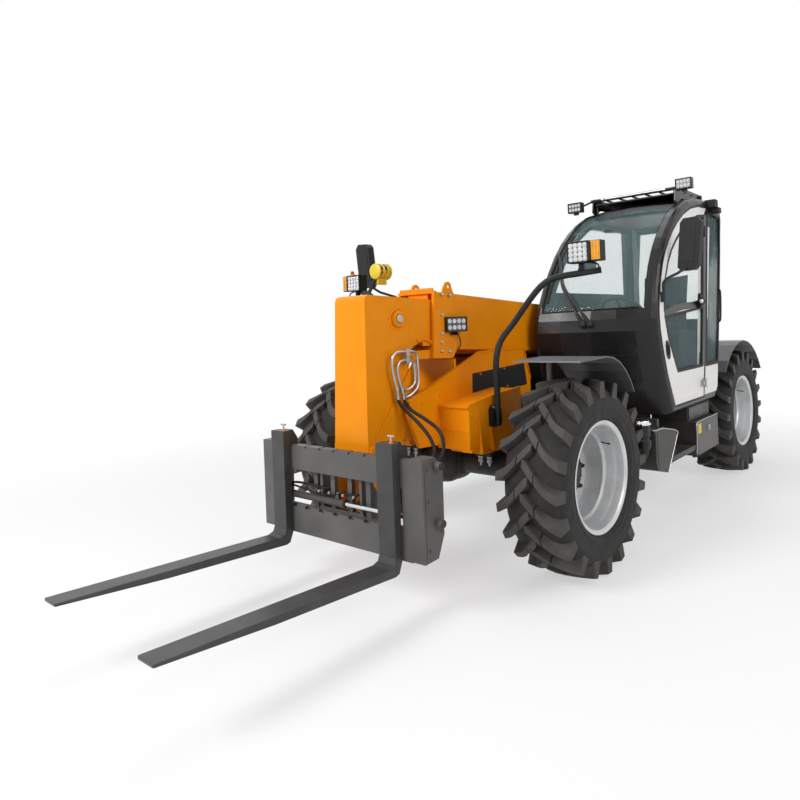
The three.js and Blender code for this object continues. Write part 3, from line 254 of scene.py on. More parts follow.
ORANGE = finish("orange_paint", (0.90, 0.29, 0.002), second=(0.86, 0.27, 0.002), rough=0.36, coat=0.05,
                bump=0.15,
                bump_scale=260, dust=0.08, specular=0.15)
CHARCOAL = finish("charcoal_paint", (0.050, 0.048, 0.046), rough=0.40, bump=0.25, bump_scale=300, dust=0.25,
                  specular=0.22)
CARRIAGE = finish("carriage_paint", (0.110, 0.105, 0.101), rough=0.40, bump=0.25, bump_scale=260, dust=0.12,
                  specular=0.28)
FORK = finish("fork_paint", (0.068, 0.066, 0.065), second=(0.052, 0.051, 0.050), rough=0.36, metal=0.25,
              bump=0.3,
              bump_scale=200, specular=0.3)
BLACK = finish("black_gloss_paint", (0.010, 0.0092, 0.009), rough=0.30, coat=0.12, bump=0.1, bump_scale=300,
               dust=0.06,
               specular=0.3)
PLASTIC = finish("black_plastic", (0.022, 0.022, 0.023), rough=0.55, bump=0.5, bump_scale=700, specular=0.2)
WHITE = finish("white_paint", (0.86, 0.84, 0.80), second=(0.83, 0.81, 0.77), rough=0.35, coat=0.2,
               bump=0.12,
               bump_scale=260, specular=0.25)
RIM = finish("rim_silver", (0.62, 0.625, 0.63), second=(0.54, 0.545, 0.55), rough=0.36, metal=0.35,
             bump=0.2,
             bump_scale=240, dust=0.15)
RIM_LIP = finish("rim_lip_silver", (0.72, 0.72, 0.71), rough=0.3, metal=0.25, bump=0.15)
FENDER = finish("fender_plastic", (0.095, 0.099, 0.106), rough=0.33, bump=0.4, bump_scale=420,
                specular=0.35)
TYRE = finish("tyre_rubber", (0.028, 0.027, 0.026), second=(0.040, 0.038, 0.036), rough=0.62, bump=0.5,
              bump_scale=320,
              grain=14, specular=0.14)
TREAD = finish("tread_rubber", (0.060, 0.056, 0.052), second=(0.080, 0.074, 0.068), rough=0.6, bump=0.6,
               bump_scale=260, grain=10, specular=0.18)
CHROME = finish("hard_chrome", (0.80, 0.81, 0.83), rough=0.09, rough_spread=0.05, metal=1.0, bump=0.02)
STEEL = finish("zinc_steel", (0.52, 0.52, 0.51), second=(0.40, 0.40, 0.39), rough=0.35, metal=0.9, bump=0.2)
DARK_STEEL = finish("dark_casting", (0.035, 0.035, 0.036), rough=0.5, metal=0.2, bump=0.8, bump_scale=160,
                    dust=0.3,
                    specular=0.2)
RUBBER = finish("hose_rubber", (0.012, 0.012, 0.012), rough=0.5, bump=0.4, bump_scale=500, specular=0.2)
SEAT = finish("seat_cloth", (0.030, 0.031, 0.034), second=(0.045, 0.046, 0.050), rough=0.85, bump=1.2,
              bump_scale=900,
              specular=0.1)
GREY_PLASTIC = finish("grey_plastic", (0.22, 0.22, 0.21), rough=0.5, bump=0.4, bump_scale=600)
YELLOW = finish("yellow_plastic", (0.85, 0.60, 0.03), rough=0.4, bump=0.2)
RED = finish("red_plastic", (0.55, 0.02, 0.015), rough=0.35, bump=0.1)
BRASS = finish("orange_anodised", (0.75, 0.28, 0.03), rough=0.3, metal=0.7)
MIRROR = finish("mirror_silver", (0.86, 0.88, 0.89), rough=0.04, rough_spread=0.02, metal=1.0, bump=0)
LENS = finish("led_lens", (0.78, 0.78, 0.78), second=(0.60, 0.61, 0.62), rough=0.12, bump=0.6,
              bump_scale=90, grain=60)
PLATE = finish("led_plate", (0.16, 0.165, 0.17), second=(0.09, 0.092, 0.096), rough=0.2, bump=0.4,
               bump_scale=90,
               grain=60)
AMBER = finish("amber_lens", (0.90, 0.40, 0.02), second=(0.78, 0.30, 0.01), rough=0.15, bump=0.8,
               bump_scale=60,
               coat=0.5, grain=30)
TAIL_RED = finish("tail_lens", (0.55, 0.01, 0.01), rough=0.15, bump=0.8, bump_scale=60, coat=0.5, grain=30)
GLASS = glass("tinted_glass", (0.30, 0.47, 0.47), 0.12)
ENGINE = finish("engine_paint", (0.13, 0.135, 0.14), rough=0.5, metal=0.2, bump=0.8, bump_scale=120)


# ---- building shapes ---------------------------------------------------------------------------
# Shapes are drawn in millimetres with Y = 0 at the front axle, and moved to the row frame at the end.
TO_ROW = Matrix.Translation((0, AXLE_Y, 0)) @ Matrix.Scale(0.001, 4)
PLANES = {"yz": lambda a, b, h: (h, a, b), "xz": lambda a, b, h: (a, h, b), "xy": lambda a, b, h: (a, b, h)}


class Form:
    """Collects solids in one mesh, and starts a new one after each piece."""

    def __init__(self):
        self.bm = bmesh.new()

    def ring(self, points):
        return [self.bm.verts.new(p) for p in points]

    def bridge(self, a, b):
        count = len(a)
        for i in range(count):
            j = (i + 1) % count
            self.bm.faces.new((a[i], a[j], b[j], b[i]))

    def skin(self, rings, closed=False):
        """A tube of faces through rings of equally many points, capped unless closed on itself."""
        made = [self.ring(points) for points in rings]
        for a, b in zip(made, made[1:]):
            self.bridge(a, b)
        if closed:
            self.bridge(made[-1], made[0])
        else:
            self.bm.faces.new(made[0])
            self.bm.faces.new(list(reversed(made[-1])))
        return self

    def prism(self, plane, outline, low, high):
        lay = PLANES[plane]
        return self.skin([[lay(a, b, h) for a, b in outline] for h in (low, high)])

    def box(self, x0, x1, y0, y1, z0, z1):
        return self.prism("xy", [(x0, y0), (x1, y0), (x1, y1), (x0, y1)], z0, z1)

    def turn(self, place, axis, profile, sides=32, start=0.0):
        """Profile of (radius, height) points turned about an axis through place; radius 0 closes an end."""
        axis = Vector(axis).normalized()
        across = axis.orthogonal().normalized()
        other = axis.cross(across)
        place = Vector(place)
        made = []
        for radius, height in profile:
            centre = place + axis * height
            if radius <= 0:
                made.append(self.bm.verts.new(centre))
                continue
            made.append(self.ring(
                centre + radius * (math.cos(start + 2 * math.pi * i / sides) * across
                                   + math.sin(start + 2 * math.pi * i / sides) * other)
                for i in range(sides)))
        for a, b in zip(made, made[1:]):
            if isinstance(a, list) and isinstance(b, list):
                self.bridge(a, b)
            elif isinstance(a, list) or isinstance(b, list):
                tip, loop = (b, a) if isinstance(a, list) else (a, b)
                for i in range(sides):
                    self.bm.faces.new((tip, loop[i], loop[(i + 1) % sides]))
        return self

    def rod(self, start, end, radius, end_radius=None, sides=24):
        start, end = Vector(start), Vector(end)
        length = (end - start).length
        last = radius if end_radius is None else end_radius
        return self.turn(start, end - start, [(0, 0), (radius, 0), (last, length), (0, length)], sides)

    def tube(self, points, radius, sides=12, steps=8):
        """Round tube on a smooth curve through points."""
        path = smooth_path([Vector(p) for p in points], steps)
        rings = []
        normal = None
        for i, p in enumerate(path):
            ahead = (path[min(i + 1, len(path) - 1)] - path[max(i - 1, 0)]).normalized()
            normal = ahead.orthogonal().normalized() if normal is None else (
                normal - ahead * normal.dot(ahead)).normalized()
            side = ahead.cross(normal)
            rings.append([
                p + radius * (math.cos(2 * math.pi * k / sides) * normal
                              + math.sin(2 * math.pi * k / sides) * side)
                for k in range(sides)])
        return self.skin(rings)

    def bolt(self, place, axis, size=12, height=8):
        """A washer with a hexagon head on it."""
        self.turn(place, axis, [(0, 0), (size, 0), (size, 2), (0, 2)], 20)
        lift = Vector(place) + Vector(axis).normalized() * 2
        return self.turn(lift, axis, [(0, 0), (size * 0.8, 0), (size * 0.8, height),
                                      (size * 0.6, height + 1.5),
                                      (0, height + 1.5)], 6)

    def piece(self, name, body, material, slot, bevel=0.0, smooth=35, replaces=(), segments=2, subdivide=0):
        bmesh.ops.recalc_face_normals(self.bm, faces=self.bm.faces)
        self.bm.transform(TO_ROW)
        mesh = bpy.data.meshes.new(name)
        self.bm.to_mesh(mesh)
        self.bm.free()
        self.bm = bmesh.new()
        mesh.materials.append(material)
        mesh.shade_smooth()
        mesh.set_sharp_from_angle(angle=math.radians(smooth))
        made = bpy.data.objects.new(name, mesh)
        bpy.context.collection.objects.link(made)
        if bevel:
            round_edges(made, bevel, segments)
        if subdivide:
            modifier = made.modifiers.new("smooth", "SUBSURF")
            modifier.levels = modifier.render_levels = subdivide
        if body:
            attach(made, body)
        if replaces:
            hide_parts(*replaces)
        return made


def smooth_path(points, steps):
    """Catmull-Rom curve through points, with steps segments between two of them."""
    path = []
    for i in range(len(points) - 1):
        a = points[max(i - 1, 0)]
        b, c = points[i], points[i + 1]
        d = points[min(i + 2, len(points) - 1)]
        for k in range(steps):
            t = k / steps
            path.append(0.5 * ((2 * b) + (c - a) * t + (2 * a - 5 * b + 4 * c - d) * t * t
                               + (3 * b - a - 3 * c + d) * t ** 3))
    path.append(points[-1])
    return path


def round_edges(made, width, segments=2):
    modifier = made.modifiers.new("round", "BEVEL")
    modifier.width = width * 0.001
    modifier.segments = segments
    modifier.limit_method = "ANGLE"
    modifier.angle_limit = math.radians(38)
    modifier.harden_normals = True


def disc(radius, height, top_radius=None, top=None):
    """Profile of a flat disc, or of one with a chamfer up to top."""
    profile = [(0, 0), (radius, 0), (radius, height)]
    if top is None:
        return [*profile, (0, height)]
    return [*profile, (top_radius, top), (0, top)]


def around(count, radius, shift=0.0):
    """Points of a circle, the first of them shift of a step round."""
    turns = [2 * math.pi * (i + shift) / count for i in range(count)]
    return [(radius * math.cos(t), radius * math.sin(t)) for t in turns]


def both(build):
    """Runs build for the left side and the right side."""
    for label, side in (("left", 1), ("right", -1)):
        build(label, side)


def skin_of(name):
    """The CAD node's surface, in layout millimetres."""
    mesh = nodes[name].data
    back = TO_ROW.inverted()
    return BVHTree.FromPolygons([back @ v.co for v in mesh.vertices], [p.vertices for p in mesh.polygons])


# ---- CAD nodes that stay: paint and rounded edges ------------------------------------------------
# Rows of (finish, width of the rounded edges in millimetres, nodes).
CARRIED = [
    (ORANGE, 4, ("front_frame", "inner_boom")),
    (ORANGE, 3, ("outer_boom",)),
    (ORANGE, 12, ("engine_hood",)),
    (CHARCOAL, 3, ("main_frame", "lift_cylinder_barrel", "tilt_cylinder_barrel", "cab_step")),
    (CHARCOAL, 14, ("counterweight",)),
    (DARK_STEEL, 6, ("front_axle", "rear_axle", "front_left_knuckle", "front_right_knuckle",
                     "rear_left_knuckle", "rear_right_knuckle")),
    (CHARCOAL, 4, ("engine_bay",)),
    (ENGINE, 12, ("engine_block",)),
    (CARRIAGE, 3, ("carriage",)),
    (FORK, 5, ("left_fork", "right_fork")),
    (CHROME, 2, ("lift_cylinder_rod", "tilt_cylinder_rod")),
    (FENDER, 2, ("front_left_fender", "rear_left_fender", "rear_right_fender")),
    (BLACK, 8, ("cab_shell",)),
    (WHITE, 5, ("cab_door",)),
    (PLASTIC, 12, ("dash",)),
    (PLASTIC, 10, ("seat_base",)),
    (SEAT, 20, ("seat_cushion", "seat_back")),
    (PLASTIC, 2, ("steering_wheel",)),
    (CHARCOAL, 6, ("tool_box",)),
    (PLASTIC, 3, ("left_headlamp", "right_headlamp")),
    (PLASTIC, 6, ("left_mirror", "right_mirror")),
    (GLASS, 0, ("windscreen", "cab_rear_window", "cab_left_rear_window", "cab_right_window",
                "door_upper_glass", "door_lower_glass")),
]


def dress(name, material, bevel):
    made = nodes[name]
    for slot in made.material_slots:
        slot.material = material
    weld = made.modifiers.new("weld", "WELD")
    weld.merge_threshold = 0.00005
    if bevel:
        round_edges(made, bevel)
    angle = made.modifiers.new("split", "EDGE_SPLIT")
    angle.split_angle = math.radians(35)


for material, bevel, names in CARRIED:
    for name in names:
        dress(name, material, bevel)


# ---- wheels --------------------------------------------------------------------------------------
TYRE_R = 588.5
WHEEL_X = 955          # middle of a wheel, from the centreline
WHEELBASE = 2950
WHEELS = [("front", 0), ("rear", WHEELBASE)]
LUGS = 20
CARCASS = [(548, 0), (546, 60), (540, 110), (528, 150), (508, 180), (480, 198), (450, 202), (420, 200),
           (412, 202.5),
           (404, 200), (380, 196), (372, 198), (364, 195), (350, 187), (340, 177), (337, 171)]


def carcass_radius(a):
    a = abs(a)
    for (r0, a0), (r1, a1) in zip(CARCASS, CARCASS[1:6]):
        if a0 <= a <= a1:
            return r0 + (r1 - r0) * (a - a0) / (a1 - a0)
    return 485


def add_lug(form, angle, hand, stations, top_drop, centre):
    """One tread bar: stations of (distance across, turn in degrees, half width)."""
    rings = []
    for across, turn, half in stations:
        a = angle + math.radians(turn)
        low = carcass_radius(across) - 10
        high = TYRE_R - top_drop * (abs(across) / 200) ** 2
        base = 1.35 * half
        ring = []
        for radius, offset in ((low, -base), (high, -half), (high, half), (low, base)):
            t = a + offset / radius
            ring.append((hand * across + centre.x, centre.y + radius * math.cos(t),
                         centre.z + radius * math.sin(t)))
        rings.append(ring)
    form.skin(rings)


BAR = [(64, -9.6, 24), (100, -5.6, 24), (140, -2.6, 25), (172, -0.9, 26), (193, 0, 27), (202, 0.3, 25)]
BLOCK = [(-24, -17.5, 20), (-5, -16.2, 27), (28, -12.8, 28), (58, -9.9, 27)]


def make_tyre(end, y, label, side):
    centre = Vector((side * WHEEL_X, y, TYRE_R))
    form = Form()
    profile = [(r, -a) for r, a in reversed(CARCASS)] + CARCASS[1:]
    form.turn(centre, (side, 0, 0), [*profile, (306, 166), (306, -166), (337, -171)], 96)
    form.piece(f"{end}_{label}_tyre_body", f"{end}_{label}_wheel", TYRE, "tyre_rubber", smooth=30,
               replaces=(f"{end}_{label}_tyre",))
    for i in range(LUGS):
        for hand, shift in ((1, 0.0), (-1, 0.5)):
            angle = 2 * math.pi * (i + shift) / LUGS
            add_lug(form, angle, hand, BAR, 15, centre)
            add_lug(form, angle, hand, BLOCK, 6, centre)
    form.piece(f"{end}_{label}_tread", f"{end}_{label}_wheel", TREAD, "tyre_rubber", bevel=2.5, smooth=30)


RIM_PROFILE = [(130, -84), (262, -82), (262, 40), (266, 52), (282, 66), (286, 84), (290, 112), (300, 130),
               (303, 150),
               (304, 163), (318, 176), (333, 180), (336, 174), (305, 165), (300, 150), (296, 118),
               (274, 62),
               (270, 40), (270, -60), (300, -125), (305, -165), (336, -174), (333, -180), (318, -176),
               (303, -160),
               (284, -112), (262, -98), (130, -98), (130, -84)]


def make_rim(end, y, label, side):
    body = f"{end}_{label}_wheel"
    centre = Vector((side * WHEEL_X, y, TYRE_R))
    axis = (side, 0, 0)
    form = Form()
    form.turn(centre, axis, RIM_PROFILE, 96)
    form.piece(f"{end}_{label}_rim_barrel", body, RIM, "rim_paint", smooth=40,
               replaces=(f"{end}_{label}_rim",))
    form.turn(centre, axis, [(304.5, 160), (309, 168), (319, 178.5), (333, 182), (336.5, 180), (337, 174),
                             (334, 168),
                             (318, 172), (306, 163), (304.5, 160)], 96)
    form.turn(centre, axis, [(262.5, 34), (258, 38), (258, 46), (263, 52), (262.5, 34)], 96)
    form.piece(f"{end}_{label}_rim_lip", body, RIM_LIP, "rim_paint", smooth=40)
    form.turn(centre, axis, [(0, -14), (70, -14), (82, -20), (88, -34), (122, -36), (134, -42), (138, -60),
                             (146, -64), (150, -84), (0, -84)], 48)
    for a, b in around(10, 205):
        form.bolt(centre + Vector((side * -83, a, b)), axis, 17, 16)
    for a, b in around(9, 105, 0.5):
        form.bolt(centre + Vector((side * -36, a, b)), axis, 9, 8)
    form.turn(centre + Vector((side * -14, 0, 0)), axis, disc(30, 6, 24, 10), 24)
    form.piece(f"{end}_{label}_hub", body, DARK_STEEL, "rim_paint", bevel=1.5)
    valve = centre + Vector((side * 70, 258 * math.cos(0.7), 258 * math.sin(0.7)))
    form.rod(valve, valve + Vector((side * 52, -8 * math.cos(0.7), -8 * math.sin(0.7))), 4, 4, 12)
    form.rod(valve + Vector((side * 52, -8 * math.cos(0.7), -8 * math.sin(0.7))),
             valve + Vector((side * 66, -10 * math.cos(0.7), -10 * math.sin(0.7))), 6, 5, 12)
    form.piece(f"{end}_{label}_valve", body, PLASTIC, "rim_paint")


for end, y in WHEELS:
    both(lambda label, side: make_tyre(end, y, label, side))
    both(lambda label, side: make_rim(end, y, label, side))


# ---- fork carriage --------------------------------------------------------------------------------
BAR_FRONT = -1085


def make_carriage_details():
    form = Form()
    form.rod((-535, -1063, 548), (60, -1063, 548), 21, sides=32)
    form.rod((-535, -1063, 548), (-495, -1063, 548), 24, sides=32)
    form.rod((20, -1063, 548), (62, -1063, 548), 24, sides=32)
    form.box(-470, -440, -1070, -1050, 565, 590)
    form.box(-20, 10, -1070, -1050, 565, 590)
    form.piece("positioner_barrel", "fork_carriage", CHARCOAL, "charcoal", bevel=1)
    form.rod((62, -1063, 548), (535, -1063, 548), 13, sides=24)
    form.piece("positioner_rod", "fork_carriage", CHROME, "rod_chrome")
    form.tube([(-455, -1060, 588), (-430, -1056, 612), (-330, -1052, 618), (-180, -1050, 612),
               (-120, -1030, 608),
               (-112, -985, 612)], 7)
    form.tube([(-5, -1060, 588), (20, -1056, 604), (110, -1054, 600), (150, -1052, 606), (160, -1010, 614)],
              7)
    form.tube([(-440, -1062, 600), (-300, -1066, 590), (-180, -1064, 575), (-60, -1066, 585),
               (20, -1066, 600),
               (40, -1050, 616)], 6)
    form.piece("positioner_hoses", "fork_carriage", RUBBER, "black_plastic")
    for x in (-455, -5):
        form.turn((x, -1060, 586), (0, 0, 1), [(0, 0), (12, 0), (12, 12), (8, 14), (8, 20), (0, 20)], 6)
    for x in (-150, -60, 60, 150):
        form.bolt((x, BAR_FRONT + 8, 600), (0, -1, 0), 8, 6)
    form.piece("positioner_fittings", "fork_carriage", STEEL, "charcoal")
    for side in (1, -1):
        for z in (815, 520):
            form.turn((side * 734, -990, z), (side, 0, 0), disc(20, 4, 16, 8), 24)
    form.piece("carriage_pins", "fork_carriage", DARK_STEEL, "charcoal", bevel=1)
    for side in (1, -1):
        form.prism("yz", [(-1070, 352), (-1070, 838), (-945, 800), (-948, 455), (-990, 352)], side * 690,
                   side * 693)
        for y, z in ((-1050, 800), (-1050, 640), (-1050, 390), (-960, 470)):
            form.bolt((side * 693, y, z), (side, 0, 0), 9, 6)
    form.piece("carriage_plates", "fork_carriage", CARRIAGE, "charcoal", bevel=1.2)


def make_fork_details(label, side):
    body = f"{label}_load_fork"
    x = side * 466
    form = Form()
    form.turn((x + 36, -1112, 936), (0, 0, 1), disc(13, 7, 9, 9), 20)
    form.piece(f"{label}_fork_lock_base", body, BRASS, "fork_steel")
    form.rod((x + 36, -1112, 944), (x + 36, -1112, 972), 5, sides=16)
    form.rod((x + 14, -1112, 974), (x + 58, -1112, 974), 5, sides=16)
    form.piece(f"{label}_fork_lock_pin", body, STEEL, "fork_steel")
    form.prism("yz", [(-1086, 936), (-1086, 852), (-1041, 852), (-1032, 812), (-1019, 812), (-1019, 880),
                      (-1052, 936)],
               x - 44, x + 44)
    form.prism("yz", [(-1084, 340), (-1084, 322), (-1040, 322), (-1040, 340)], x - 44, x + 44)
    form.piece(f"{label}_fork_hook", body, FORK, "fork_steel", bevel=2)


make_carriage_details()
both(make_fork_details)


# ---- boom head, its pipes and hoses ----------------------------------------------------------------
def make_head_details():
    form = Form()
    for side in (1, -1):
        form.turn((side * 148, -674, 1586), (side, 0, 0),
                  [(26, -6), (50, -6), (50, 4), (46, 8), (30, 8), (26, 4),
                                                          (26, -6)], 48)
        form.turn((side * 133, -674, 1586), (side, 0, 0),
                  [(60, 0), (74, 0), (74, 4), (70, 6), (60, 6), (60, 0)], 48)
        form.prism("yz", [(-960, 470), (-956, 820), (-560, 1328), (-545, 1328), (-690, 830), (-770, 520),
                          (-800, 470)],
                   side * 142, side * 154)
        form.prism("yz", [(-955, 600), (-945, 850), (-830, 868), (-740, 700)], side * 150, side * 163)
        rim = []
        for k in range(13):
            t = math.pi * (1 - k / 12) * 0.62 + 0.1
            rim.append((-470 - 118 * math.cos(math.pi - t), 1372 + 88 * math.sin(t)))
        inner = [(a + (-470 - a) * 0.12, b - (b - 1372) * 0.14) for a, b in rim]
        form.prism("yz", rim + list(reversed(inner)), side * 130, side * 150)
        form.bolt((side * 150, -716, 1586), (side, 0, 0), 6, 5)
    form.piece("head_plates", "boom_extension", ORANGE, "orange", bevel=2)
    for side in (1, -1):
        form.turn((side * 150, -674, 1586), (side, 0, 0), disc(25, 8, 21, 12), 36)
        form.turn((side * 178, -905, 440), (side, 0, 0), disc(30, 8, 26, 12), 36)
    form.piece("head_pin_ends", "boom_extension", STEEL, "charcoal", bevel=1)


PIPES = [
    [(142.5, -662, 1105), (165, -655, 1108), (180, -620, 1125), (183, -575, 1160), (183, -560, 1215),
     (183, -564, 1300),
     (183, -570, 1360), (183, -600, 1382), (183, -645, 1384), (183, -725, 1386), (183, -768, 1366),
     (183, -778, 1329),
     (183, -775, 1270), (183, -760, 1210), (184, -745, 1152)],
    [(142, -655, 1150), (163, -650, 1153), (178, -625, 1165), (181, -592, 1200), (181, -594, 1294),
     (181, -612, 1326),
     (181, -660, 1334), (181, -706, 1330), (181, -730, 1306), (181, -735, 1266), (183, -722, 1205),
     (186, -705, 1146)],
]
HOSES = {
    "front": [(184, -742, 1122), (190, -738, 1085), (230, -722, 1035), (330, -716, 960), (430, -738, 890),
              (505, -790, 830), (512, -850, 785), (500, -930, 748), (490, -990, 737), (490, -1022, 737),
              (490, -1040, 737)],
    "rear": [(189, -701, 1118), (196, -696, 1085), (240, -688, 1036), (350, -690, 990), (470, -712, 940),
             (530, -740, 874), (548, -785, 805), (520, -860, 745), (460, -925, 715), (430, -985, 723),
             (430, -1018, 724),
             (430, -1040, 724)],
}


def make_hoses():
    form = Form()
    for path in PIPES:
        form.tube(path, 9, 14)
    form.piece("tilt_pipes", "boom_extension", STEEL, "charcoal")
    for path, hose in zip(PIPES, HOSES.values()):
        (x, y, z), (x2, y2, z2) = path[-1], hose[0]
        form.rod((x, y, z + 26), (x, y, z + 8), 14, sides=6)
        form.rod((x, y, z + 8), (x2, y2, z2 + 6), 12, 10.5, 20)
        form.rod((x2, y2, z2 + 6), (x2, y2 + 2, z2 - 18), 12.5, 12.5, 20)
        form.turn(path[0], (1, 0, 0), [(0, -2), (17, -2), (17, 8), (13, 10), (0, 10)], 6)
    form.box(172, 196, -668, -640, 1312, 1402)
    form.bolt((196, -654, 1358), (1, 0, 0), 7, 6)
    form.piece("pipe_clamp", "boom_extension", STEEL, "charcoal", bevel=1)
    for (x, y, z) in (HOSES["front"][-1], HOSES["rear"][-1]):
        form.rod((x, y, z), (x, y + 26, z), 13, sides=20)
        form.turn((x, y, z), (0, 1, 0), disc(17, 10), 6)
    form.piece("hose_ends", "fork_carriage", STEEL, "charcoal")
    for name, path in HOSES.items():
        form.tube(path, 10.5, 16, 10)
        hose = form.piece(f"tilt_hose_{name}_line", None, RUBBER, "black_plastic",
                          replaces=(f"tilt_hose_{name}",))
        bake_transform(hose)


make_head_details()
make_hoses()


# ---- boom ------------------------------------------------------------------------------------------
SLOPE = math.atan2(240.6, 3529.8)      # the boom's rise from its pivot
PIVOT_Y, PIVOT_Z = 3150, 1370          # the boom's pivot


def on_boom(along, up):
    y = PIVOT_Y - along * math.cos(SLOPE) + up * math.sin(SLOPE)
    return (y, PIVOT_Z + along * math.sin(SLOPE) + up * math.cos(SLOPE))


def boom_outline(points):
    return [on_boom(a, u) for a, u in points]


LAMP_EDGE = 7          # width of the raised edge round a work lamp


def led_lamp(form_case, form_plate, form_lens, centre, facing, width, height, depth, rows=2, columns=4):
    """Finned LED work lamp: a case, a dark plate and round bright cells on it."""
    facing = Vector(facing).normalized()
    up = Vector((0, 0, 1)) - facing * facing.z
    up.normalize()
    across = up.cross(facing)
    centre = Vector(centre)

    def slab(form, w, h, d0, d1, c=(0, 0)):
        corners = [(-w / 2, -h / 2), (w / 2, -h / 2), (w / 2, h / 2), (-w / 2, h / 2)]
        rings = [[centre + across * (a + c[0]) + up * (b + c[1]) + facing * d for a,
                  b in corners] for d in (d0, d1)]
        form.skin(rings)

    slab(form_case, width, height, -depth, -4)
    for hand in (1, -1):
        slab(form_case, width, LAMP_EDGE, -4, 6, (0, hand * (height - LAMP_EDGE) / 2))
    for hand in (1, -1):
        slab(form_case, LAMP_EDGE, height, -4, 6, (hand * (width - LAMP_EDGE) / 2, 0))
    fins = max(4, int(width / 16))
    for i in range(fins):
        slab(form_case, 4, height * 0.8, -depth - 12, -depth, ((i + 0.5) / fins * width - width / 2, 0))
    slab(form_plate, width - 12, height - 12, -4, 0)
    for i in range(columns):
        for j in range(rows):
            a = ((i + 0.5) / columns - 0.5) * (width - 16)
            b = ((j + 0.5) / rows - 0.5) * (height - 16)
            cell = min((width - 16) / columns, (height - 16) / rows) * 0.40
            form_lens.turn(centre + across * a + up * b, facing, [(cell, -1), (cell, 2), (cell * 0.7, 0.5),
                                                                 (cell * 0.3, 3), (0, 4)], 16)


def make_boom_details():
    form = Form()
    for side in (1, -1):
        for along, up in ((3462, 132), (3385, 134), (3462, 0), (3462, -123), (3462, -182), (3385, -240),
                          (3462, -240)):
            y, z = on_boom(along, up)
            form.bolt((side * 166, y, z), (side, 0, 0), 12, 9)
        y, z = on_boom(3385, -100)
        form.bolt((side * 166, y, z), (side, 0, 0), 10, 8)
    form.piece("flange_bolts", "boom", STEEL, "charcoal")
    case, plate, lens = Form(), Form(), Form()
    led_lamp(case, plate, lens, (206, -205, 1540), (0.97, -0.25, 0), 165, 100, 26)
    case.box(164, 190, -230, -180, 1470, 1485)
    case.box(176, 190, -225, -185, 1470, 1500)
    case.tube([(178, -170, 1480), (182, -150, 1440), (176, -140, 1400), (170, -160, 1365)], 4)
    case.piece("boom_lamp", "boom", PLASTIC, "black_plastic", bevel=1.5)
    plate.piece("boom_lamp_plate", "boom", PLATE, "tinted_glass")
    lens.piece("boom_lamp_lens", "boom", LENS, "tinted_glass")
    for side in (1, -1):
        form.prism("yz", boom_outline([(-160, 90), (120, 90), (160, 40), (160, -150), (120, -190),
                                       (-160, -190)]),
                   side * 154, side * 163)
        form.prism("yz", boom_outline([(3300, -222), (3310, -150), (3372, -100), (3372, -283),
                                       (3340, -283)]),
                   side * 150, side * 161)
        for along in (900, 1900, 2900):
            form.prism("yz", boom_outline([(along, -226), (along + 60, -226), (along + 60, -205),
                                           (along, -205)]),
                       side * 150, side * 158)
    form.prism("yz", boom_outline([(3538, 153), (3538, 172), (3526, 172), (3526, 153)]), -150, 150)
    form.piece("boom_plates", "boom", ORANGE, "orange", bevel=2)
    form.tube([(60, *on_boom(3500, -235)), (62, *on_boom(3200, -262)), (40, *on_boom(2700, -250)),
               (20, *on_boom(2300, -262)), (10, *on_boom(1900, -245))], 9, 10)
    form.tube([(30, *on_boom(3500, -240)), (30, *on_boom(3150, -270)), (10, *on_boom(2700, -256)),
               (-20, *on_boom(2300, -268)), (-20, *on_boom(1900, -248))], 9, 10)
    form.piece("boom_hoses", "boom", RUBBER, "black_plastic")
    for side in (1, -1):
        form.turn((side * 204, PIVOT_Y, PIVOT_Z), (side, 0, 0), disc(40, 20, 34, 26), 36)
        form.box(side * 206, side * 214, 3120, 3180, 1420, 1450)
    form.piece("pivot_pin_ends", "machine", STEEL, "charcoal", bevel=1)


make_boom_details()


# ---- front frame ----------------------------------------------------------------------------------
def inset(outline, gap):
    """The outline moved inward by gap (outward if negative)."""
    count = len(outline)
    area = sum(outline[i][0] * outline[(i + 1) % count][1] - outline[(i + 1) % count][0] * outline[i][1]
               for i in range(count))
    hand = 1 if area > 0 else -1
    moved = []
    for i in range(count):
        here = Vector(outline[i])
        before = (here - Vector(outline[i - 1])).normalized()
        after = (Vector(outline[(i + 1) % count]) - here).normalized()
        n = Vector((-(before.y + after.y), before.x + after.x)) * hand
        n.normalize()
        reach = max(0.45, Vector((-before.y, before.x)).dot(n) * hand)
        moved.append(tuple(here + n * (gap / reach)))
    return moved


def band(form, plane, outline, width, low, high):
    """A closed frame that follows outline, width wide on its inner side."""
    lay = PLANES[plane]
    inner = inset(outline, width)
    rings = []
    for (a, b), (c, d) in zip(outline, inner):
        rings.append([lay(a, b, low), lay(a, b, high), lay(c, d, high), lay(c, d, low)])
    form.skin(rings, closed=True)


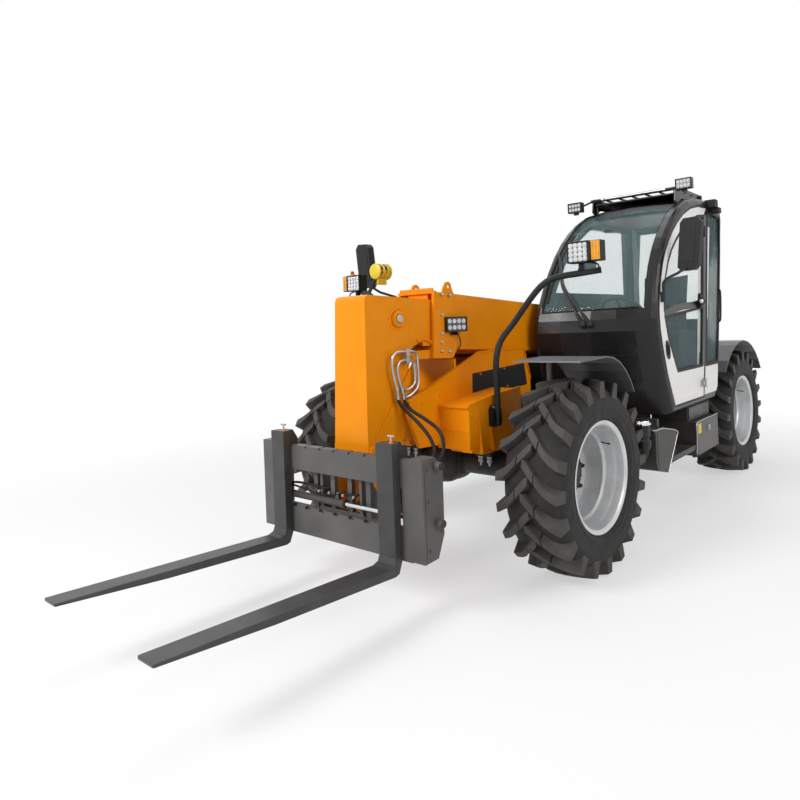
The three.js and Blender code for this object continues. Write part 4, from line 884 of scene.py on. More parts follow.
def make_front_frame_details():
    form, painted_shade, bolts = Form(), Form(), Form()
    for side in (1, -1):
        form.prism("yz", [(-686, 1086), (35, 1346), (560, 1346), (638, 1104), (630, 1102), (554, 1338),
                          (36, 1338),
                          (-680, 1078)], side * 182, side * 216)
        form.prism("yz", [(-411, 1031), (-130, 1064), (149, 1086), (149, 1100), (-130, 1079), (-411, 1045)],
                   side * 438, side * 452)
        form.prism("xz", [(side * 205, 1031), (side * 449, 1031), (side * 449, 1019), (side * 205, 1019)],
                   -424, -410)
        form.prism("yz", [(-408, 745), (-300, 745), (-300, 760), (-408, 760)], side * 380, side * 462)
        form.prism("yz", [(-300, 716), (148, 716), (148, 728), (-300, 728)], side * 400, side * 462)
        for y0 in (-330, -215):
            form.skin([[(side * 449, y0 + 6, 1012), (side * 449, y0 + 16, 1012),
                        (side * 451, y0 + 16, 1012),
                        (side * 451, y0 + 6, 1012)],
                       [(side * 449, y0 - 2, 735), (side * 449, y0 + 14, 735), (side * 486, y0 + 14, 735),
                        (side * 486, y0 - 2, 735)]])
        form.prism("xz", [(side * 206, 885), (side * 448, 878), (side * 448, 870), (side * 206, 877)], -414,
                   -409)
        form.prism("yz", [(-690, 1000), (-600, 790), (-588, 794), (-676, 1002), (-668, 1084), (-682, 1088)],
                   side * 205, side * 214)
        # Dark plates in the frame sides' openings: painted shade where the inside of the openings lies in
        # shadow.
        painted_shade.prism("yz", [(-70, 1042), (-62, 1200), (560, 1226), (590, 1060), (20, 1030)], side * 204,
                   side * 208)
        for y, z in ((-400, 1090), (-160, 1060), (-560, 1058)):
            bolts.bolt((side * 205, y, z), (side, 0, 0), 7, 5)
        for y, z in ((20, 1190), (300, 1205), (0, 1060), (330, 1075)):
            bolts.bolt((side * 208, y, z), (side, 0, 0), 7, 5)
        bolts.turn((side * 451, -376, 974), (side, 0, 0), disc(15, 3, 11, 4), 24)
    form.piece("front_frame_flanges", "machine", ORANGE, "orange", bevel=2)
    painted_shade.piece("front_frame_openings_painted_shade", "machine", PLASTIC, "charcoal", bevel=2)
    bolts.piece("front_frame_bolts", "machine", ORANGE, "orange")
    studs, pads = Form(), Form()
    for x in (300, 372, -300, -372):
        for y in (-120, 120):
            studs.rod((x, y, 716), (x, y, 600), 11, sides=20)
            studs.turn((x, y, 648), (0, 0, 1), disc(19, 18), 6)
            studs.turn((x, y, 622), (0, 0, 1), disc(19, 18), 6)
    for side in (1, -1):
        pads.prism("xy", [(side * 270, -145), (side * 404, -145), (side * 404, 145), (side * 270, 145)],
                   664, 690)
        pads.prism("xz", [(side * 250, 690), (side * 424, 690), (side * 410, 714), (side * 262, 714)], -150,
                   150)
    studs.piece("axle_studs", "machine", STEEL, "charcoal")
    pads.piece("axle_seats", "machine", DARK_STEEL, "charcoal", bevel=2)


def make_axle_details():
    form = Form()
    for (end, y), hand in zip(WHEELS, (1, -1)):
        steer_y = y + hand * 128
        form.turn((-60, y, TYRE_R), (0, -hand, 0), [(0, 172), (40, 170), (92, 158), (128, 132), (148, 96),
                                                    (154, 60),
                                                    (150, 20), (150, -20)], 40)
        for a, b in around(12, 138):
            form.bolt((-60 + a, y - hand * 104, TYRE_R + b), (0, -hand, 0), 8, 6)
        form.piece(f"{end}_diff_cover", "machine", DARK_STEEL, "charcoal", bevel=1)
        for start, stop, radius in ((-330, 330, 38), (-330, -300, 44), (300, 330, 44)):
            form.rod((start, steer_y, 600), (stop, steer_y, 600), radius, sides=32)
        form.box(-120, -70, y + hand * 90, y + hand * 150, 560, 625)
        form.piece(f"{end}_steer_cylinder", "machine", CHARCOAL, "charcoal", bevel=1.5)
        form.rod((-560, steer_y, 600), (560, steer_y, 600), 17, sides=24)
        form.piece(f"{end}_steer_rod", "machine", CHROME, "rod_chrome")
    form.rod((-20, 190, 600), (-20, 700, 640), 34, sides=28)
    form.rod((-20, 2250, 640), (-20, 2760, 600), 34, sides=28)
    for y in (200, 690, 2260, 2750):
        form.turn((-20, y, 602 if y in (200, 2750) else 638), (0, 1, 0),
                  [(0, -22), (52, -22), (52, 22), (0, 22)], 24)
    form.piece("drive_shafts", "machine", DARK_STEEL, "charcoal", bevel=2)


make_front_frame_details()
make_axle_details()


# ---- cab outside ----------------------------------------------------------------------------------
DOOR_EDGE = [(1215, 855), (1090, 1110), (1022, 1310), (988, 1450), (978, 1560), (990, 1660), (1022, 1780),
             (1078, 1920), (1145, 2025), (1215, 2108), (1300, 2185), (1405, 2262), (1545, 2345),
             (1720, 2415),
             (1900, 2452), (2098, 2462), (2040, 2100), (1971, 1600), (1900, 1150), (1850, 855)]
UPPER_PANE = [(1068, 1580), (1072, 1680), (1115, 1830), (1175, 1940), (1260, 2045), (1370, 2135),
              (1500, 2220),
              (1700, 2318), (1880, 2370), (2030, 2388), (1990, 2100), (1932, 1650)]
LOWER_PANE = [(1075, 1535), (1130, 1370), (1290, 1110), (1848, 1110), (1920, 1600)]
REAR_PANE = [(1940, 1110), (2255, 1110), (2370, 1700), (2440, 2120), (2470, 2420), (2135, 2440),
             (2080, 2100),
             (2010, 1600)]


def make_door_details():
    form = Form()
    form.prism("yz", [(1070, 1534), (1068, 1582), (1400, 1634), (1932, 1652), (1920, 1598), (1440, 1580)],
               1100, 1134)
    form.prism("yz", [(1846, 1108), (1934, 1652), (1992, 2100), (2032, 2392), (2088, 2450), (2036, 2100),
                      (1967, 1600), (1896, 1150), (1890, 1108)], 1100, 1133)
    form.piece("door_dark_frame", "door", BLACK, "black_metal", bevel=2)
    band(form, "yz", inset(UPPER_PANE, -9), 24, 1112, 1132)
    band(form, "yz", inset(LOWER_PANE, -9), 22, 1112, 1132)
    form.piece("door_seals", "door", RUBBER, "black_plastic", bevel=2.5)
    band(form, "yz", inset(REAR_PANE, -9), 24, 1112, 1133)
    form.piece("side_glass_seal", "machine", RUBBER, "black_plastic", bevel=2.5)
    band(form, "yz", inset(DOOR_EDGE, -12), 9, 1112, 1131)
    form.piece("door_frame_seal", "machine", RUBBER, "black_plastic", bevel=2)
    form.prism("yz", [(1862, 866), (1920, 1098), (2238, 1098), (2228, 1020), (2205, 905), (2165, 866)],
               1125, 1135)
    form.piece("quarter_panel", "machine", WHITE, "white_metal", bevel=4, segments=3)
    ring = []
    for k in range(24):
        t = 2 * math.pi * k / 24
        ring.append((1104 + 36 * math.cos(t) - 14 * math.sin(t), 1286 + 72 * math.sin(t)))
    form.prism("yz", ring, 1124, 1139)
    form.piece("door_pull_frame", "door", BLACK, "black_plastic", bevel=5, segments=3)
    form.prism("yz", inset(ring, 11), 1136, 1141)
    form.rod((1139, 1096, 1250), (1143, 1088, 1322), 11, sides=20)
    form.piece("door_pull", "door", PLASTIC, "black_plastic", bevel=2)
    form.box(1132, 1158, 1790, 1846, 1592, 1704)
    form.box(1132, 1150, 1800, 1838, 1704, 1716)
    form.turn((1156, 1800, 1648), (0.6, -0.8, 0), [(0, -10), (30, -10), (30, 16), (24, 24), (0, 24)], 28)
    form.piece("door_latch", "door", PLASTIC, "black_plastic", bevel=3)
    form.turn((1162, 1786, 1648), (0.6, -0.8, 0), [(0, 10), (17, 10), (17, 15), (12, 18), (0, 18)], 24)
    form.piece("door_latch_button", "door", STEEL, "black_plastic")
    form.prism("yz", [(1800, 940), (1806, 992), (1846, 998), (1842, 946)], 1131, 1144)
    form.prism("yz", [(1856, 948), (1862, 1000), (1900, 1004), (1894, 952)], 1131, 1144)
    form.rod((1150, 1850, 930), (1150, 1858, 1012), 11, sides=20)
    form.tube([(1146, 1804, 988), (1160, 1776, 992), (1168, 1762, 970), (1160, 1770, 944),
               (1146, 1800, 944)], 4.5)
    for y, z in ((1815, 958), (1830, 980), (1872, 966), (1884, 986)):
        form.bolt((1144, y, z), (1, 0, 0), 6, 4)
    form.piece("door_hinge", "door", STEEL, "charcoal", bevel=1)
    form.rod((1150, 1980, 2200), (1150, 1990, 2290), 11, sides=20)
    form.box(1131, 1144, 1965, 2005, 2215, 2275)
    form.piece("door_upper_hinge", "door", BLACK, "black_metal", bevel=1.5)
    form.tube([(1119, 2322, 1470), (1140, 2324, 1476), (1146, 2332, 1520), (1146, 2352, 1690),
               (1140, 2360, 1748),
               (1119, 2362, 1754)], 9)
    form.box(1118, 1126, 2306, 2340, 1452, 1492)
    form.box(1118, 1126, 2344, 2378, 1734, 1772)
    form.piece("side_glass_handle", "machine", PLASTIC, "black_plastic", bevel=2)
    form.tube([(1105, 1150, 1470), (1096, 1180, 1480), (1092, 1230, 1484), (1105, 1262, 1480)], 8)
    form.box(1098, 1112, 1420, 1500, 1650, 1672)
    form.piece("door_inner_handle", "door", PLASTIC, "black_plastic", bevel=3)


def glass_point(skin, x, z, off):
    """The point of skin seen from the front at x and z, moved forward by off."""
    hit = skin.ray_cast(Vector((x, -3000, z)), Vector((0, 1,
                                                       0)))[0] or skin.find_nearest(Vector((x, 1300, z)))[0]
    return Vector((hit.x, hit.y - off, hit.z))


def make_windscreen_details():
    screen = skin_of("windscreen")
    shell = skin_of("cab_shell")
    arms, blades = Form(), Form()
    for foot, shift in ((632, 0), (684, 26)):
        base = glass_point(shell, foot, 1500, 18)
        mid = glass_point(screen, 430 + shift * 0.6, 1790, 38)
        end = glass_point(screen, 296 + shift * 0.5, 2060 - shift, 22)
        arms.tube([base, base.lerp(mid, 0.5) + Vector((0, -10, 0)), mid,
                   mid.lerp(end, 0.5) + Vector((0, -4, 0)), end],
                  9.5, 10, 6)
        blades.turn(base + Vector((0, 14, -4)), (0, -0.9, 0.3), disc(26, 22, 18, 32), 24)
        blades.rod(base + Vector((0, -6, 0)), base.lerp(mid, 0.28) + Vector((0, -4, 0)), 15, 12, 18)
    path = [glass_point(screen, 316 + 0.02 * (z - 1700), z, 8) for z in range(1670, 2231, 56)]
    blades.tube(path, 8, 10, 3)
    arms.tube([p + Vector((0, -12, 0)) for p in path[1:-1]], 4, 8, 3)
    for p in (path[2], path[8]):
        arms.rod(p + Vector((0, -16, 0)), p, 7, sides=12)
    arms.piece("wiper_arms", "machine", CHARCOAL, "charcoal")
    blades.piece("wiper_blade", "machine", PLASTIC, "black_plastic", bevel=1)
    seal = Form()
    for x, low in ((290, 1600), (1044, 1612)):
        seal.tube([glass_point(screen, x, z, 1) for z in range(low, 2441, 60)], 7, 8, 3)
    seal.tube([glass_point(screen, x, 1597 + (x - 285) * 0.02, 1) for x in range(290, 1046, 42)], 7, 8, 3)
    seal.piece("windscreen_seal", "machine", RUBBER, "black_plastic")
    cowl = Form()
    path = [glass_point(shell, x, 1250 + (x - 300) * 0.02, 0.5) for x in range(260, 1000, 40)]
    cowl.tube(path, 3.5, 8, 3)
    path = [glass_point(shell, 420, z, 0.5) for z in range(1180, 1251, 14)]
    cowl.tube(path, 3.5, 8, 3)
    cowl.tube([glass_point(shell, 560, 1290, 10), glass_point(shell, 556, 1190, 26),
               glass_point(shell, 590, 1140, 20),
               glass_point(shell, 640, 1180, 4)], 7, 10, 6)
    cowl.piece("cowl_seams", "machine", RUBBER, "black_plastic")


def make_roof_details():
    case, plate, lens = Form(), Form(), Form()
    for x, y, z in ((244, 1372, 2498), (1155, 1507, 2582)):
        led_lamp(case, plate, lens, (x, y - 6, z), (0, -1, 0), 130, 84, 6)
        case.box(x - 20, x + 20, y + 10, y + 34, z - 60, z - 40)
    case.piece("roof_lamps", "machine", PLASTIC, "black_plastic", bevel=1.5)
    plate.piece("roof_lamp_plates", "machine", PLATE, "tinted_glass")
    lens.piece("roof_lamp_lenses", "machine", LENS, "tinted_glass")
    form = Form()
    for x in (318, 1052):
        side = 1 if x > 600 else -1
        form.prism("yz", [(1560, 2470), (1575, 2560), (1640, 2592), (2180, 2592), (2240, 2548),
                          (2240, 2512),
                          (2160, 2524), (1700, 2500), (1620, 2440)], x, x + side * 10)
        for y in (1650, 1800, 1950, 2100):
            form.bolt((x + side * 10, y, 2562), (side, 0, 0), 8, 6)
    for x in range(440, 1000, 120):
        form.rod((x, 1595, 2560), (x, 2150, 2560), 9, sides=16)
    form.box(330, 1040, 1610, 2150, 2530, 2540)
    form.rod((330, 1596, 2532), (1040, 1596, 2532), 9, sides=16)
    form.piece("rack_plates", "machine", BLACK, "black_metal", bevel=1.5)
    # The rack's front bar is given light steel for the bright stripe along it: painted highlight.
    form.rod((400, 1572, 2572), (980, 1572, 2572), 9, sides=20)
    for x in (400, 960):
        form.turn((x, 1572, 2572), (1, 0, 0), disc(14, 24), 20)
    form.piece("rack_bar_painted_highlight", "machine", STEEL, "charcoal")
    form.box(1096, 1196, 2150, 2230, 2470, 2540)
    form.box(1110, 1214, 2190, 2260, 2424, 2472)
    form.piece("rear_roof_lamp", "machine", PLASTIC, "black_plastic", bevel=4)


def make_mirrors():
    for label, side, back in (("left", 1, 1211), ("right", -1, 407)):
        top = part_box(f"{label}_mirror")[1][2] * 1000
        outline = [(1217, top - 350), (1350, top - 348), (1368, top - 330), (1392, top - 40),
                   (1374, top - 18),
                   (1266, top - 20), (1252, top - 36)]
        form = Form()
        form.prism("xz", [(side * x, z) for x, z in outline], back, back + 3)
        form.piece(f"{label}_mirror_glass", "door" if side == 1 else "machine", MIRROR, "black_plastic",
                   bevel=0.8)
        form.prism("xz", [(side * x, z) for x, z in inset(outline, -8)], back, back + 2)
        form.prism("xz", [(side * 1236, top - 330), (side * 1336, top - 328), (side * 1366, top - 44),
                          (side * 1276, top - 44)], back - 65, back - 61)
        form.piece(f"{label}_mirror_case", "door" if side == 1 else "machine", PLASTIC, "black_plastic",
                   bevel=1.5)


make_door_details()
make_windscreen_details()
make_roof_details()
make_mirrors()


# ---- headlamps and the drum on the right -------------------------------------------------------------
def make_headlamps():
    for side, x, z in ((1, 1010, 1953), (-1, 1075, 1905)):
        label = "left" if side == 1 else "right"
        front = 31
        case, plate, lens, amber, cable = Form(), Form(), Form(), Form(), Form()
        x0, x1 = x - 75, x + 75
        for low, high, left, right in ((z - 66, z - 57, x0, x1), (z + 57, z + 66, x0, x1),
                                       (z - 66, z + 66, x0, x0 + 9),
                                       (z - 66, z + 66, x1 - 9, x1)):
            case.box(side * left, side * right, front - 14, front + 12, low, high)
        case.box(side * (x1 - 2), side * (x1 + 8), 20, 62, z - 58, z + 60)
        case.rod((side * x, 62, z - 96), (side * x, 62, z - 66), 17, 13, 20)
        case.turn((side * x, 62, z - 110), (0, 0, 1), disc(24, 10), 6)
        for i in range(5):
            fin = z - 40 + 20 * i
            case.box(side * (x - 60), side * (x + 60), 100, 112, fin, fin + 6)
        plate.prism("xz", [(side * (x0 + 8), z - 58), (side * (x1 - 8), z - 58), (side * (x1 - 8), z + 58),
                           (side * (x0 + 8), z + 58)], front - 8, front)
        for i in range(4):
            for j in range(4):
                a, b = x0 + 25 + 33.3 * i, z - 43 + 28.7 * j
                lens.turn((side * a, front - 8, b), (0, -1, 0),
                          [(15, 0), (15, 2), (11, 0.5), (7, 4), (0, 5.5)], 20)
        amber.box(side * (x1 + 7), side * (x1 + 69), 36, 96, z - 54, z + 62)
        for i in range(3):
            amber.box(side * (x1 + 12 + 19 * i), side * (x1 + 25 + 19 * i), 32, 37, z - 46, z + 54)
        cable.tube([(side * (x + 20), 80, z - 62), (side * (x + 60), 78, z - 66),
                    (side * (x + 104), 76, z - 78),
                    (side * (x + 112), 78, z - 100), (side * (x + 78), 84, z - 122),
                    (side * (x + 52), 88, z - 128)], 5)
        case.piece(f"{label}_lamp_case", "machine", PLASTIC, "black_plastic", bevel=2)
        plate.piece(f"{label}_lamp_plate", "machine", GREY_PLASTIC, "tinted_glass")
        lens.piece(f"{label}_lamp_lens", "machine", LENS, "tinted_glass")
        amber.piece(f"{label}_lamp_indicator", "machine", AMBER, "tinted_glass", bevel=3)
        cable.piece(f"{label}_lamp_cable", "machine", RUBBER, "black_plastic")
        form = Form()
        form.prism("yz", [(-212, 884), (-212, 1000), (-196, 1012), (-132, 1012), (-118, 1000), (-118, 884),
                          (-132, 872), (-198, 872)], side * 452, side * 468)
        form.turn((side * 485, -160, 900), (0, 0, 1), [(21, 0), (26, 0), (26, 60), (21, 60)], 24)
        form.piece(f"{label}_arm_bracket", "machine", BLACK, "black_metal", bevel=2)
        for y, height in ((-186, 1000), (-186, 892), (-140, 1000)):
            form.bolt((side * 468, y, height), (side, 0, 0), 10, 7)
        form.piece(f"{label}_arm_bolts", "machine", STEEL, "charcoal")
    centre = (-840, 38, 1985)
    form.turn(centre, (0, 1, 0), [(0, 0), (50, 0), (62, 8), (62, 20), (57, 24), (57, 44), (62, 48),
                                  (62, 66), (57, 70),
                                  (57, 90), (62, 94), (62, 112), (56, 120), (66, 124), (66, 134), (0, 134)],
              40)
    for a, b in around(8, 60):
        form.box(-840 + a - 3, -840 + a + 3, 46, 158, 1985 + b - 3, 1985 + b + 3)
    form.box(-860, -820, 60, 150, 1880, 1930)
    form.box(-1200, -1160, 98, 120, 1850, 1990)
    form.piece("right_horn_drum", "machine", YELLOW, "black_plastic", bevel=1.5)
    form.turn((-1182, 108, 1990), (0, 0, 1), [(0, 0), (14, 0), (14, 22), (0, 28)], 20)
    form.piece("right_marker", "machine", RED, "black_plastic")


make_headlamps()


# ---- inside the cab ---------------------------------------------------------------------------------
PAD_CELLS = 28                      # grid cells along each side of a pad
PAD_PULL = 0.05                     # share by which the sides draw in between the corners
PAD_EDGE = 0.34                     # how full the pad is near its rim
SEAM_REACH, SEAM_DEPTH = 16, 9      # a sewn channel's half width and depth


def crowned(width, depth, thick, dish):
    """Top and bottom grids of a crowned pad with rounded sides that draw in between its corners."""
    grids = []
    for top in (1, -1):
        grid = []
        for i in range(PAD_CELLS + 1):
            line = []
            for j in range(PAD_CELLS + 1):
                u, v = 2 * i / PAD_CELLS - 1, 2 * j / PAD_CELLS - 1
                x = u * width / 2 * (1 - PAD_PULL * (1 - v * v))
                y = v * depth / 2 * (1 - PAD_PULL * (1 - u * u))
                fullness = ((1 - abs(u) ** 5) * (1 - abs(v) ** 5)) ** PAD_EDGE
                z = top * thick / 2 * fullness * (1 if top == 1 else 0.86)
                if top == 1:
                    z -= dish * thick * (1 - u * u) * (1 - v * v)
                line.append(Vector((x, y, z)))
            grid.append(line)
        grids.append(grid)
    return grids


def pad(name, node, place, width, depth, thick, dish, seams):
    """A stuffed seat pad with sewn channels; place maps its own axes into the layout."""
    top, low = crowned(width, depth, thick, dish)
    form = Form()
    for line in top:
        for p in line:
            for kind, where in seams:
                gap = abs((p.x if kind == "x" else p.y) - where)
                if gap < SEAM_REACH:
                    p.z -= SEAM_DEPTH * (1 - gap / SEAM_REACH)
    upper = [form.ring(place @ p for p in line) for line in top]
    lower = []
    for i, line in enumerate(low):
        lower.append([])
        for j, p in enumerate(line):
            rim = i in (0, PAD_CELLS) or j in (0, PAD_CELLS)
            lower[-1].append(upper[i][j] if rim else form.bm.verts.new(place @ p))
    for grid, turn in ((upper, False), (lower, True)):
        for i in range(PAD_CELLS):
            for j in range(PAD_CELLS):
                loop = [grid[i][j], grid[i + 1][j], grid[i + 1][j + 1], grid[i][j + 1]]
                form.bm.faces.new(loop if turn else list(reversed(loop)))
    made = form.piece(name, "machine", SEAT, "seat_fabric", smooth=80, subdivide=1, replaces=(node,))


def make_seat():
    flat = Matrix.Translation((690, 1935, 1226))
    pad("seat_cushion_pad", "seat_cushion", flat, 446, 455, 118, 0.10,
        (("x", -140), ("x", 140), ("y", 60), ("y", -60)))
    lean = math.atan2(100, 600)
    upright = (Matrix.Translation((690, 2186, 1606)) @ Matrix.Rotation(-lean, 4, "X")
               @ Matrix.Rotation(math.radians(90), 4, "X"))
    pad("seat_back_pad", "seat_back", upright, 430, 620, 96, 0.08,
        (("x", -130), ("x", 130), ("y", -160), ("y", 0)))
    form = Form()
    form.box(470, 910, 1705, 2165, 1148, 1166)
    for z0, z1 in ((900, 930), (950, 980), (1000, 1030), (1050, 1080)):
        form.box(505, 875, 1722, 2078, z0, z1)
    form.piece("seat_suspension", "machine", PLASTIC, "black_plastic", bevel=4)
    form.box(938, 986, 1725, 1900, 1396, 1420)
    form.rod((962, 1760, 1418), (962, 1750, 1490), 9, 8, 16)
    form.turn((962, 1749, 1486), (0, -0.1, 1), [(0, 0), (20, 2), (27, 20), (26, 48), (16, 62), (0, 66)], 24)
    form.piece("joystick", "machine", PLASTIC, "black_plastic", bevel=3)


def make_dash():
    form = Form()
    form.turn((690, 1236, 1500), (0, -0.6, 0.8), [(0, -40), (60, -40), (96, 6), (96, 22), (86, 30),
                                                  (0, 30)], 32)
    form.piece("gauge_pod", "machine", PLASTIC, "black_plastic", bevel=3)
    dial = Form()
    for x in (652, 728):
        dial.turn((x, 1218, 1526), (0, -0.6, 0.8), [(0, 0), (28, 0), (28, 5), (24, 6), (0, 4)], 28)
    dial.turn((690, 1196, 1498), (0, -0.6, 0.8), disc(14, 5), 20)
    dial.piece("gauges", "machine", LENS, "black_plastic")
    red, yellow = Form(), Form()
    red.box(756, 780, 1196, 1214, 1512, 1534)
    red.box(610, 628, 1196, 1214, 1512, 1530)
    yellow.box(784, 808, 1200, 1218, 1512, 1534)
    yellow.box(584, 604, 1200, 1218, 1510, 1530)
    red.piece("dash_buttons_red", "machine", RED, "black_plastic", bevel=2)
    yellow.piece("dash_buttons_yellow", "machine", YELLOW, "black_plastic", bevel=2)
    form.rod((430, 1240, 2000), (430, 1240, 2080), 8, sides=16)
    form.turn((430, 1232, 1985), (0, -1, 0.1), [(0, 0), (70, 0), (78, 8), (78, 22), (70, 30), (0, 30)], 36)
    form.turn((430, 1232, 1985), (0, 1, 0), [(0, 0), (40, 0), (40, 34), (0, 40)], 28)
    form.turn((610, 1300, 2240), (0, 0, 1), [(0, 0), (60, 0), (60, 12), (0, 16)], 32)
    form.piece("cab_fan", "machine", PLASTIC, "black_plastic", bevel=1.5)
    form.box(250, 1060, 1700, 2440, 2404, 2420)
    form.box(360, 380, 2250, 2330, 1400, 2380)
    form.piece("cab_lining", "machine", GREY_PLASTIC, "black_plastic", bevel=6)
    wheel_axis = Vector((0, 215, 230)).normalized()
    wheel_centre = Vector((690, 1290, 1560))
    hub = wheel_centre + wheel_axis * 45
    form.turn(hub, wheel_axis, [(0, 0), (36, 0), (34, 8), (24, 13), (0, 15)], 32)
    knob = wheel_centre + wheel_axis * 20 + Vector((-120, 82, -76))
    form.rod(knob, knob + wheel_axis * 36, 9, 8, 16)
    form.turn(knob + wheel_axis * 34, wheel_axis, [(0, 0), (20, 2), (23, 16), (18, 30), (0, 34)], 24)
    form.piece("wheel_hub_cap", "helm", PLASTIC, "black_plastic", bevel=1)


make_seat()
make_dash()


# ---- steps, tool box and filler under the cab ---------------------------------------------------------
def make_step_details():
    form = Form()
    form.prism("xz", [(700, 700), (700, 716), (1090, 722), (1105, 716), (1110, 690), (1110, 505),
                      (1106, 505),
                      (1104, 690), (1086, 706)], 866, 872)
    form.prism("xy", [(712, 1046), (1098, 1046), (1098, 1668), (712, 1668)], 468, 474)
    for y in range(1070, 1660, 46):
        for x in range(740, 1090, 40):
            form.turn((x, y, 473), (0, 0, 1), [(9, 0), (14, 0), (12, 5), (9, 5), (9, 0)], 10)
    form.box(1100, 1108, 1046, 1680, 436, 478)
    form.box(712, 1100, 1240, 1248, 474, 560)
    form.piece("step_tread", "machine", CHARCOAL, "charcoal", bevel=1.5)
    form.prism("yz", [(864, 724), (1010, 716), (1278, 655), (1262, 600), (1082, 378), (905, 428),
                      (864, 505)], 700, 1106)
    form.prism("yz", [(900, 700), (1010, 692), (1230, 644), (1214, 600), (1070, 412), (922, 448),
                      (900, 505)], 1104, 1109)
    form.piece("step_box", "machine", CHARCOAL, "charcoal", bevel=7, segments=3)
    form.tube([(720, 864, 723), (1040, 864, 723), (1096, 866, 723), (1106, 890, 722), (1107, 1010, 716),
               (1107, 1276, 656), (1106, 1262, 602), (1106, 1084, 382)], 5, 10)
    form.tube([(1112, 1684, 400), (1117, 1684, 560), (1117, 1690, 648), (1117, 1800, 658),
               (1117, 2215, 658)], 5, 10)
    form.piece("step_edges", "machine", STEEL, "charcoal")
    form.box(1114, 1119, 1692, 2218, 388, 650)
    form.box(1042, 1048, 1712, 2205, 664, 768)
    form.piece("tool_box_lid", "machine", CARRIAGE, "charcoal", bevel=2.5)
    for y in (1760, 1960, 2150):
        for z in (690, 740):
            form.bolt((1048, y, z), (1, 0, 0), 8, 6)
    form.box(1119, 1128, 1930, 1990, 560, 600)
    form.turn((1126, 1960, 580), (1, 0, 0), [(0, 0), (14, 0), (14, 8), (0, 10)], 24)
    form.piece("tool_box_bolts", "machine", STEEL, "charcoal", bevel=1)
    form.box(1118.5, 1121, 1712, 1786, 560, 640)
    form.piece("tool_box_reflector", "machine", YELLOW, "charcoal", bevel=0.5)
    bowl, cap = Form(), Form()
    bowl.turn((1040, 800, 590), (0, 0, 1), [(0, 0), (46, 4), (58, 26), (60, 70), (48, 84), (50, 96),
                                            (54, 100),
                                           (54, 172), (46, 180), (0, 180)], 40)
    bowl.tube([(1040, 800, 640), (1040, 804, 590), (1034, 830, 560), (1020, 876, 556)], 40, 20, 6)
    cap.turn((1040, 800, 768), (0, 0, 1), [(0, 0), (50, 0), (58, 6), (58, 16), (50, 24), (46, 34), (30, 42),
                                           (0, 44)], 40)
    for a, b in around(16, 57):
        cap.rod((1040 + a, 800 + b, 772), (1040 + a, 800 + b, 784), 4, sides=8)
    bowl.piece("filter_bowl", "machine", BLACK, "black_metal", bevel=1.5)
    cap.piece("filter_cap", "machine", CHROME, "rod_chrome")
    form.prism("yz", [(780, 705), (800, 760), (1010, 790), (1130, 786), (1130, 640), (1030, 620),
                      (1030, 560),
                      (880, 600), (800, 640)], 690, 700)
    form.box(712, 1040, 1060, 1100, 690, 772)
    form.piece("step_backing", "machine", CHARCOAL, "charcoal", bevel=2)


# ---- engine hood, frame sides and tail ------------------------------------------------------------------
def make_hood_details():
    form = Form()
    for y0 in (*range(1000, 1340, 34), *range(1620, 1960, 34)):
        form.prism("yz", [(y0, 1120), (y0 + 20, 1120), (y0 + 20, 1330), (y0, 1330)], -1108, -1099)
    for x0 in range(-960, -420, 40):
        form.box(x0, x0 + 22, 2197, 2206, 1080, 1360)
        form.box(x0, x0 + 22, 774, 783, 1080, 1360)
    form.piece("hood_vents", "hood", PLASTIC, "black_plastic", bevel=2)
    for y in (1480, 1560):
        form.turn((-1101, y, 985), (-1, 0, 0), disc(16, 5, 10, 8), 24)
    form.tube([(-1101, 1440, 1060), (-1122, 1442, 1060), (-1124, 1490, 1060), (-1124, 1560, 1060),
               (-1122, 1598, 1060),
               (-1101, 1600, 1060)], 8)
    form.piece("hood_latch", "hood", STEEL, "charcoal")
    form.prism("yz", [(790, 896), (2190, 896), (2190, 906), (790, 906)], -1105, -1098)
    form.piece("hood_edge", "hood", RUBBER, "black_plastic", bevel=1)
    for x in (-420, -700):
        form.rod((x, 1100, 1400), (x, 1500, 1400), 40, sides=28)
    form.turn((-640, 1260, 1365), (0, 0, 1), disc(120, 60, 100, 80), 36)
    for y in range(1080, 1900, 140):
        form.box(-904, -898, y, y + 90, 760, 1300)
        form.rod((-380, y + 40, 1365), (-380, y + 40, 1392), 16, sides=16)
    form.piece("engine_fittings", "machine", ENGINE, "engine_paint", bevel=3)
    form.tube([(-700, 1940, 1300), (-700, 2040, 1330), (-760, 2120, 1300), (-820, 2160, 1200)], 44, 24, 8)
    form.tube([(-480, 1040, 1200), (-470, 960, 1180), (-500, 880, 1050), (-520, 830, 900)], 30, 20, 8)
    form.piece("engine_hoses", "machine", RUBBER, "black_plastic")
    for z in (1000, 1080, 1160, 1240):
        form.rod((-1070, 860, z), (-900, 860, z), 14, sides=16)
    form.box(-1080, -900, 830, 845, 940, 1290)
    form.box(-1094, -1060, 900, 2100, 650, 700)
    form.piece("engine_bay_fittings", "machine", CHARCOAL, "charcoal", bevel=2)


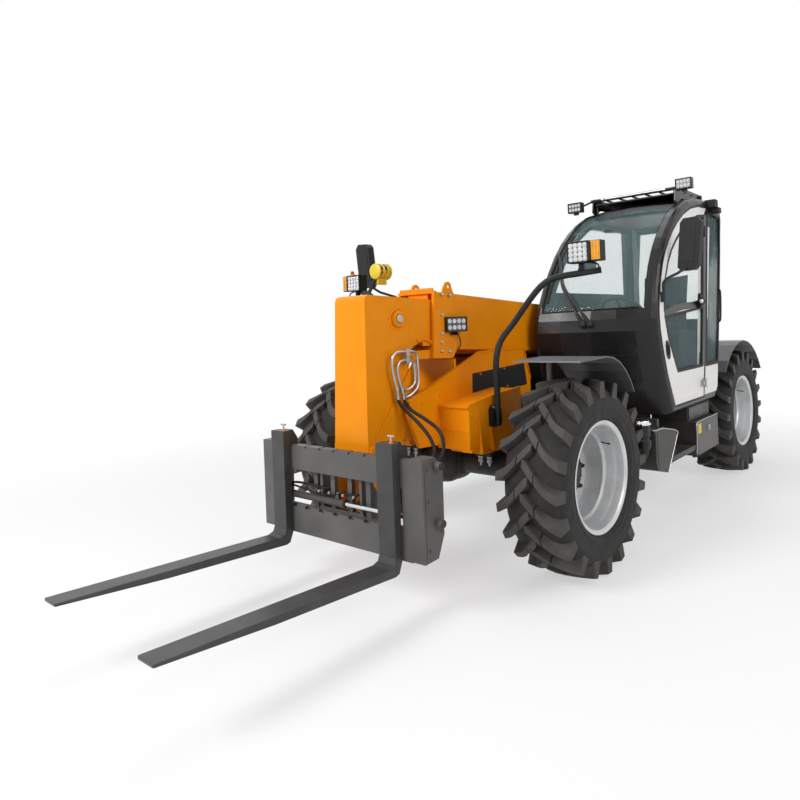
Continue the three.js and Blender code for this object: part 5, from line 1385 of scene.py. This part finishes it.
def make_tail_details():
    form = Form()
    for side in (1, -1):
        form.box(side * 700, side * 838, 3790, 3797, 880, 944)
        form.box(side * 470, side * 560, 3790, 3797, 880, 944)
    form.piece("tail_lamp_cases", "machine", PLASTIC, "black_plastic", bevel=1)
    red, amber = Form(), Form()
    for side in (1, -1):
        for lamp, columns in ((red, (706, 730, 754)), (amber, (782, 806))):
            for x0 in columns:
                lamp.box(side * x0, side * (x0 + 20), 3794, 3799, 888, 936)
    red.piece("tail_lamps_red", "machine", TAIL_RED, "tinted_glass", bevel=1)
    amber.piece("tail_lamps_amber", "machine", AMBER, "tinted_glass", bevel=1)
    form.box(-60, 60, 3791, 3799, 700, 820)
    form.box(-90, 90, 3700, 3796, 640, 660)
    form.turn((0, 3760, 655), (0, 0, 1), [(0, 0), (26, 0), (26, 60), (34, 60), (34, 72), (0, 72)], 24)
    for x in (-380, 380):
        form.bolt((x, 3771, 1080), (0, 1, 0), 22, 16)
        form.bolt((x, 3771, 980), (0, 1, 0), 22, 16)
    form.piece("tow_hitch", "machine", DARK_STEEL, "charcoal", bevel=2)
    form.prism("xz", [(-395, 905), (395, 905), (395, 1122), (-395, 1122)], 3769, 3772)
    for x0 in range(-330, 331, 44):
        form.box(x0, x0 + 24, 3770, 3776, 1000, 1105)
    form.piece("tail_grille", "machine", PLASTIC, "black_plastic", bevel=1.5)
    for side in (1, -1):
        for y in range(760, 2400, 220):
            form.bolt((side * 310, y, 640), (side, 0, 0), 13, 9)
        form.prism("yz", [(420, 566), (2400, 566), (2400, 578), (420, 578)], side * 310, side * 316)
        form.prism("yz", [(PIVOT_Y - 200, 1180), (PIVOT_Y - 30, 1470), (PIVOT_Y + 60, 1470),
                          (PIVOT_Y + 150, 1200), (PIVOT_Y - 20, 1060)], side * 204, side * 212)
        form.turn((side * 206, PIVOT_Y, PIVOT_Z), (side, 0, 0), disc(74, 14, 64, 18), 36)
    form.piece("frame_side_details", "machine", CHARCOAL, "charcoal", bevel=2)
    form.tube([(150, 2500, 1010), (140, 2600, 1120), (120, 2740, 1180), (60, 2900, 1210), (30, 3000, 1250)],
              11)
    form.tube([(-150, 2500, 1010), (-140, 2620, 1130), (-120, 2760, 1190), (-60, 2900, 1220)], 11)
    form.tube([(240, 700, 900), (235, 1200, 880), (240, 1800, 860), (236, 2400, 900)], 10)
    form.tube([(210, 700, 890), (205, 1200, 866), (212, 1800, 846), (208, 2400, 890)], 10)
    form.piece("frame_hoses", "machine", RUBBER, "black_plastic")


def make_cylinder_details():
    form = Form()
    lean = Vector((0, -0.8951, 0.4459))
    base = Vector((0, 2700, 640))
    form.turn(base + lean * 1060, lean, [(60, 0), (66, 0), (66, 26), (60, 30), (56, 30)], 36)
    form.turn(base + lean * 120, lean, [(60, 0), (64, 0), (64, 30), (60, 34), (56, 34)], 36)
    form.piece("lift_cylinder_collars", "lift_barrel", BLACK, "charcoal", bevel=1)
    side = Vector((0, 0.4459, 0.8951))
    form.tube([base + lean * 160 + side * 62, base + lean * 200 + side * 86, base + lean * 500 + side * 86,
               base + lean * 960 + side * 86, base + lean * 1010 + side * 64], 9)
    form.piece("lift_cylinder_pipe", "lift_barrel", STEEL, "charcoal")
    for side_x in (1, -1):
        y, z = on_boom(1476.3, -311.1)
        form.turn((side_x * 75, y, z), (side_x, 0, 0), disc(34, 8, 28, 12), 28)
    form.piece("lift_pin_ends", "boom", STEEL, "charcoal")


make_step_details()
make_hood_details()
make_tail_details()
make_cylinder_details()
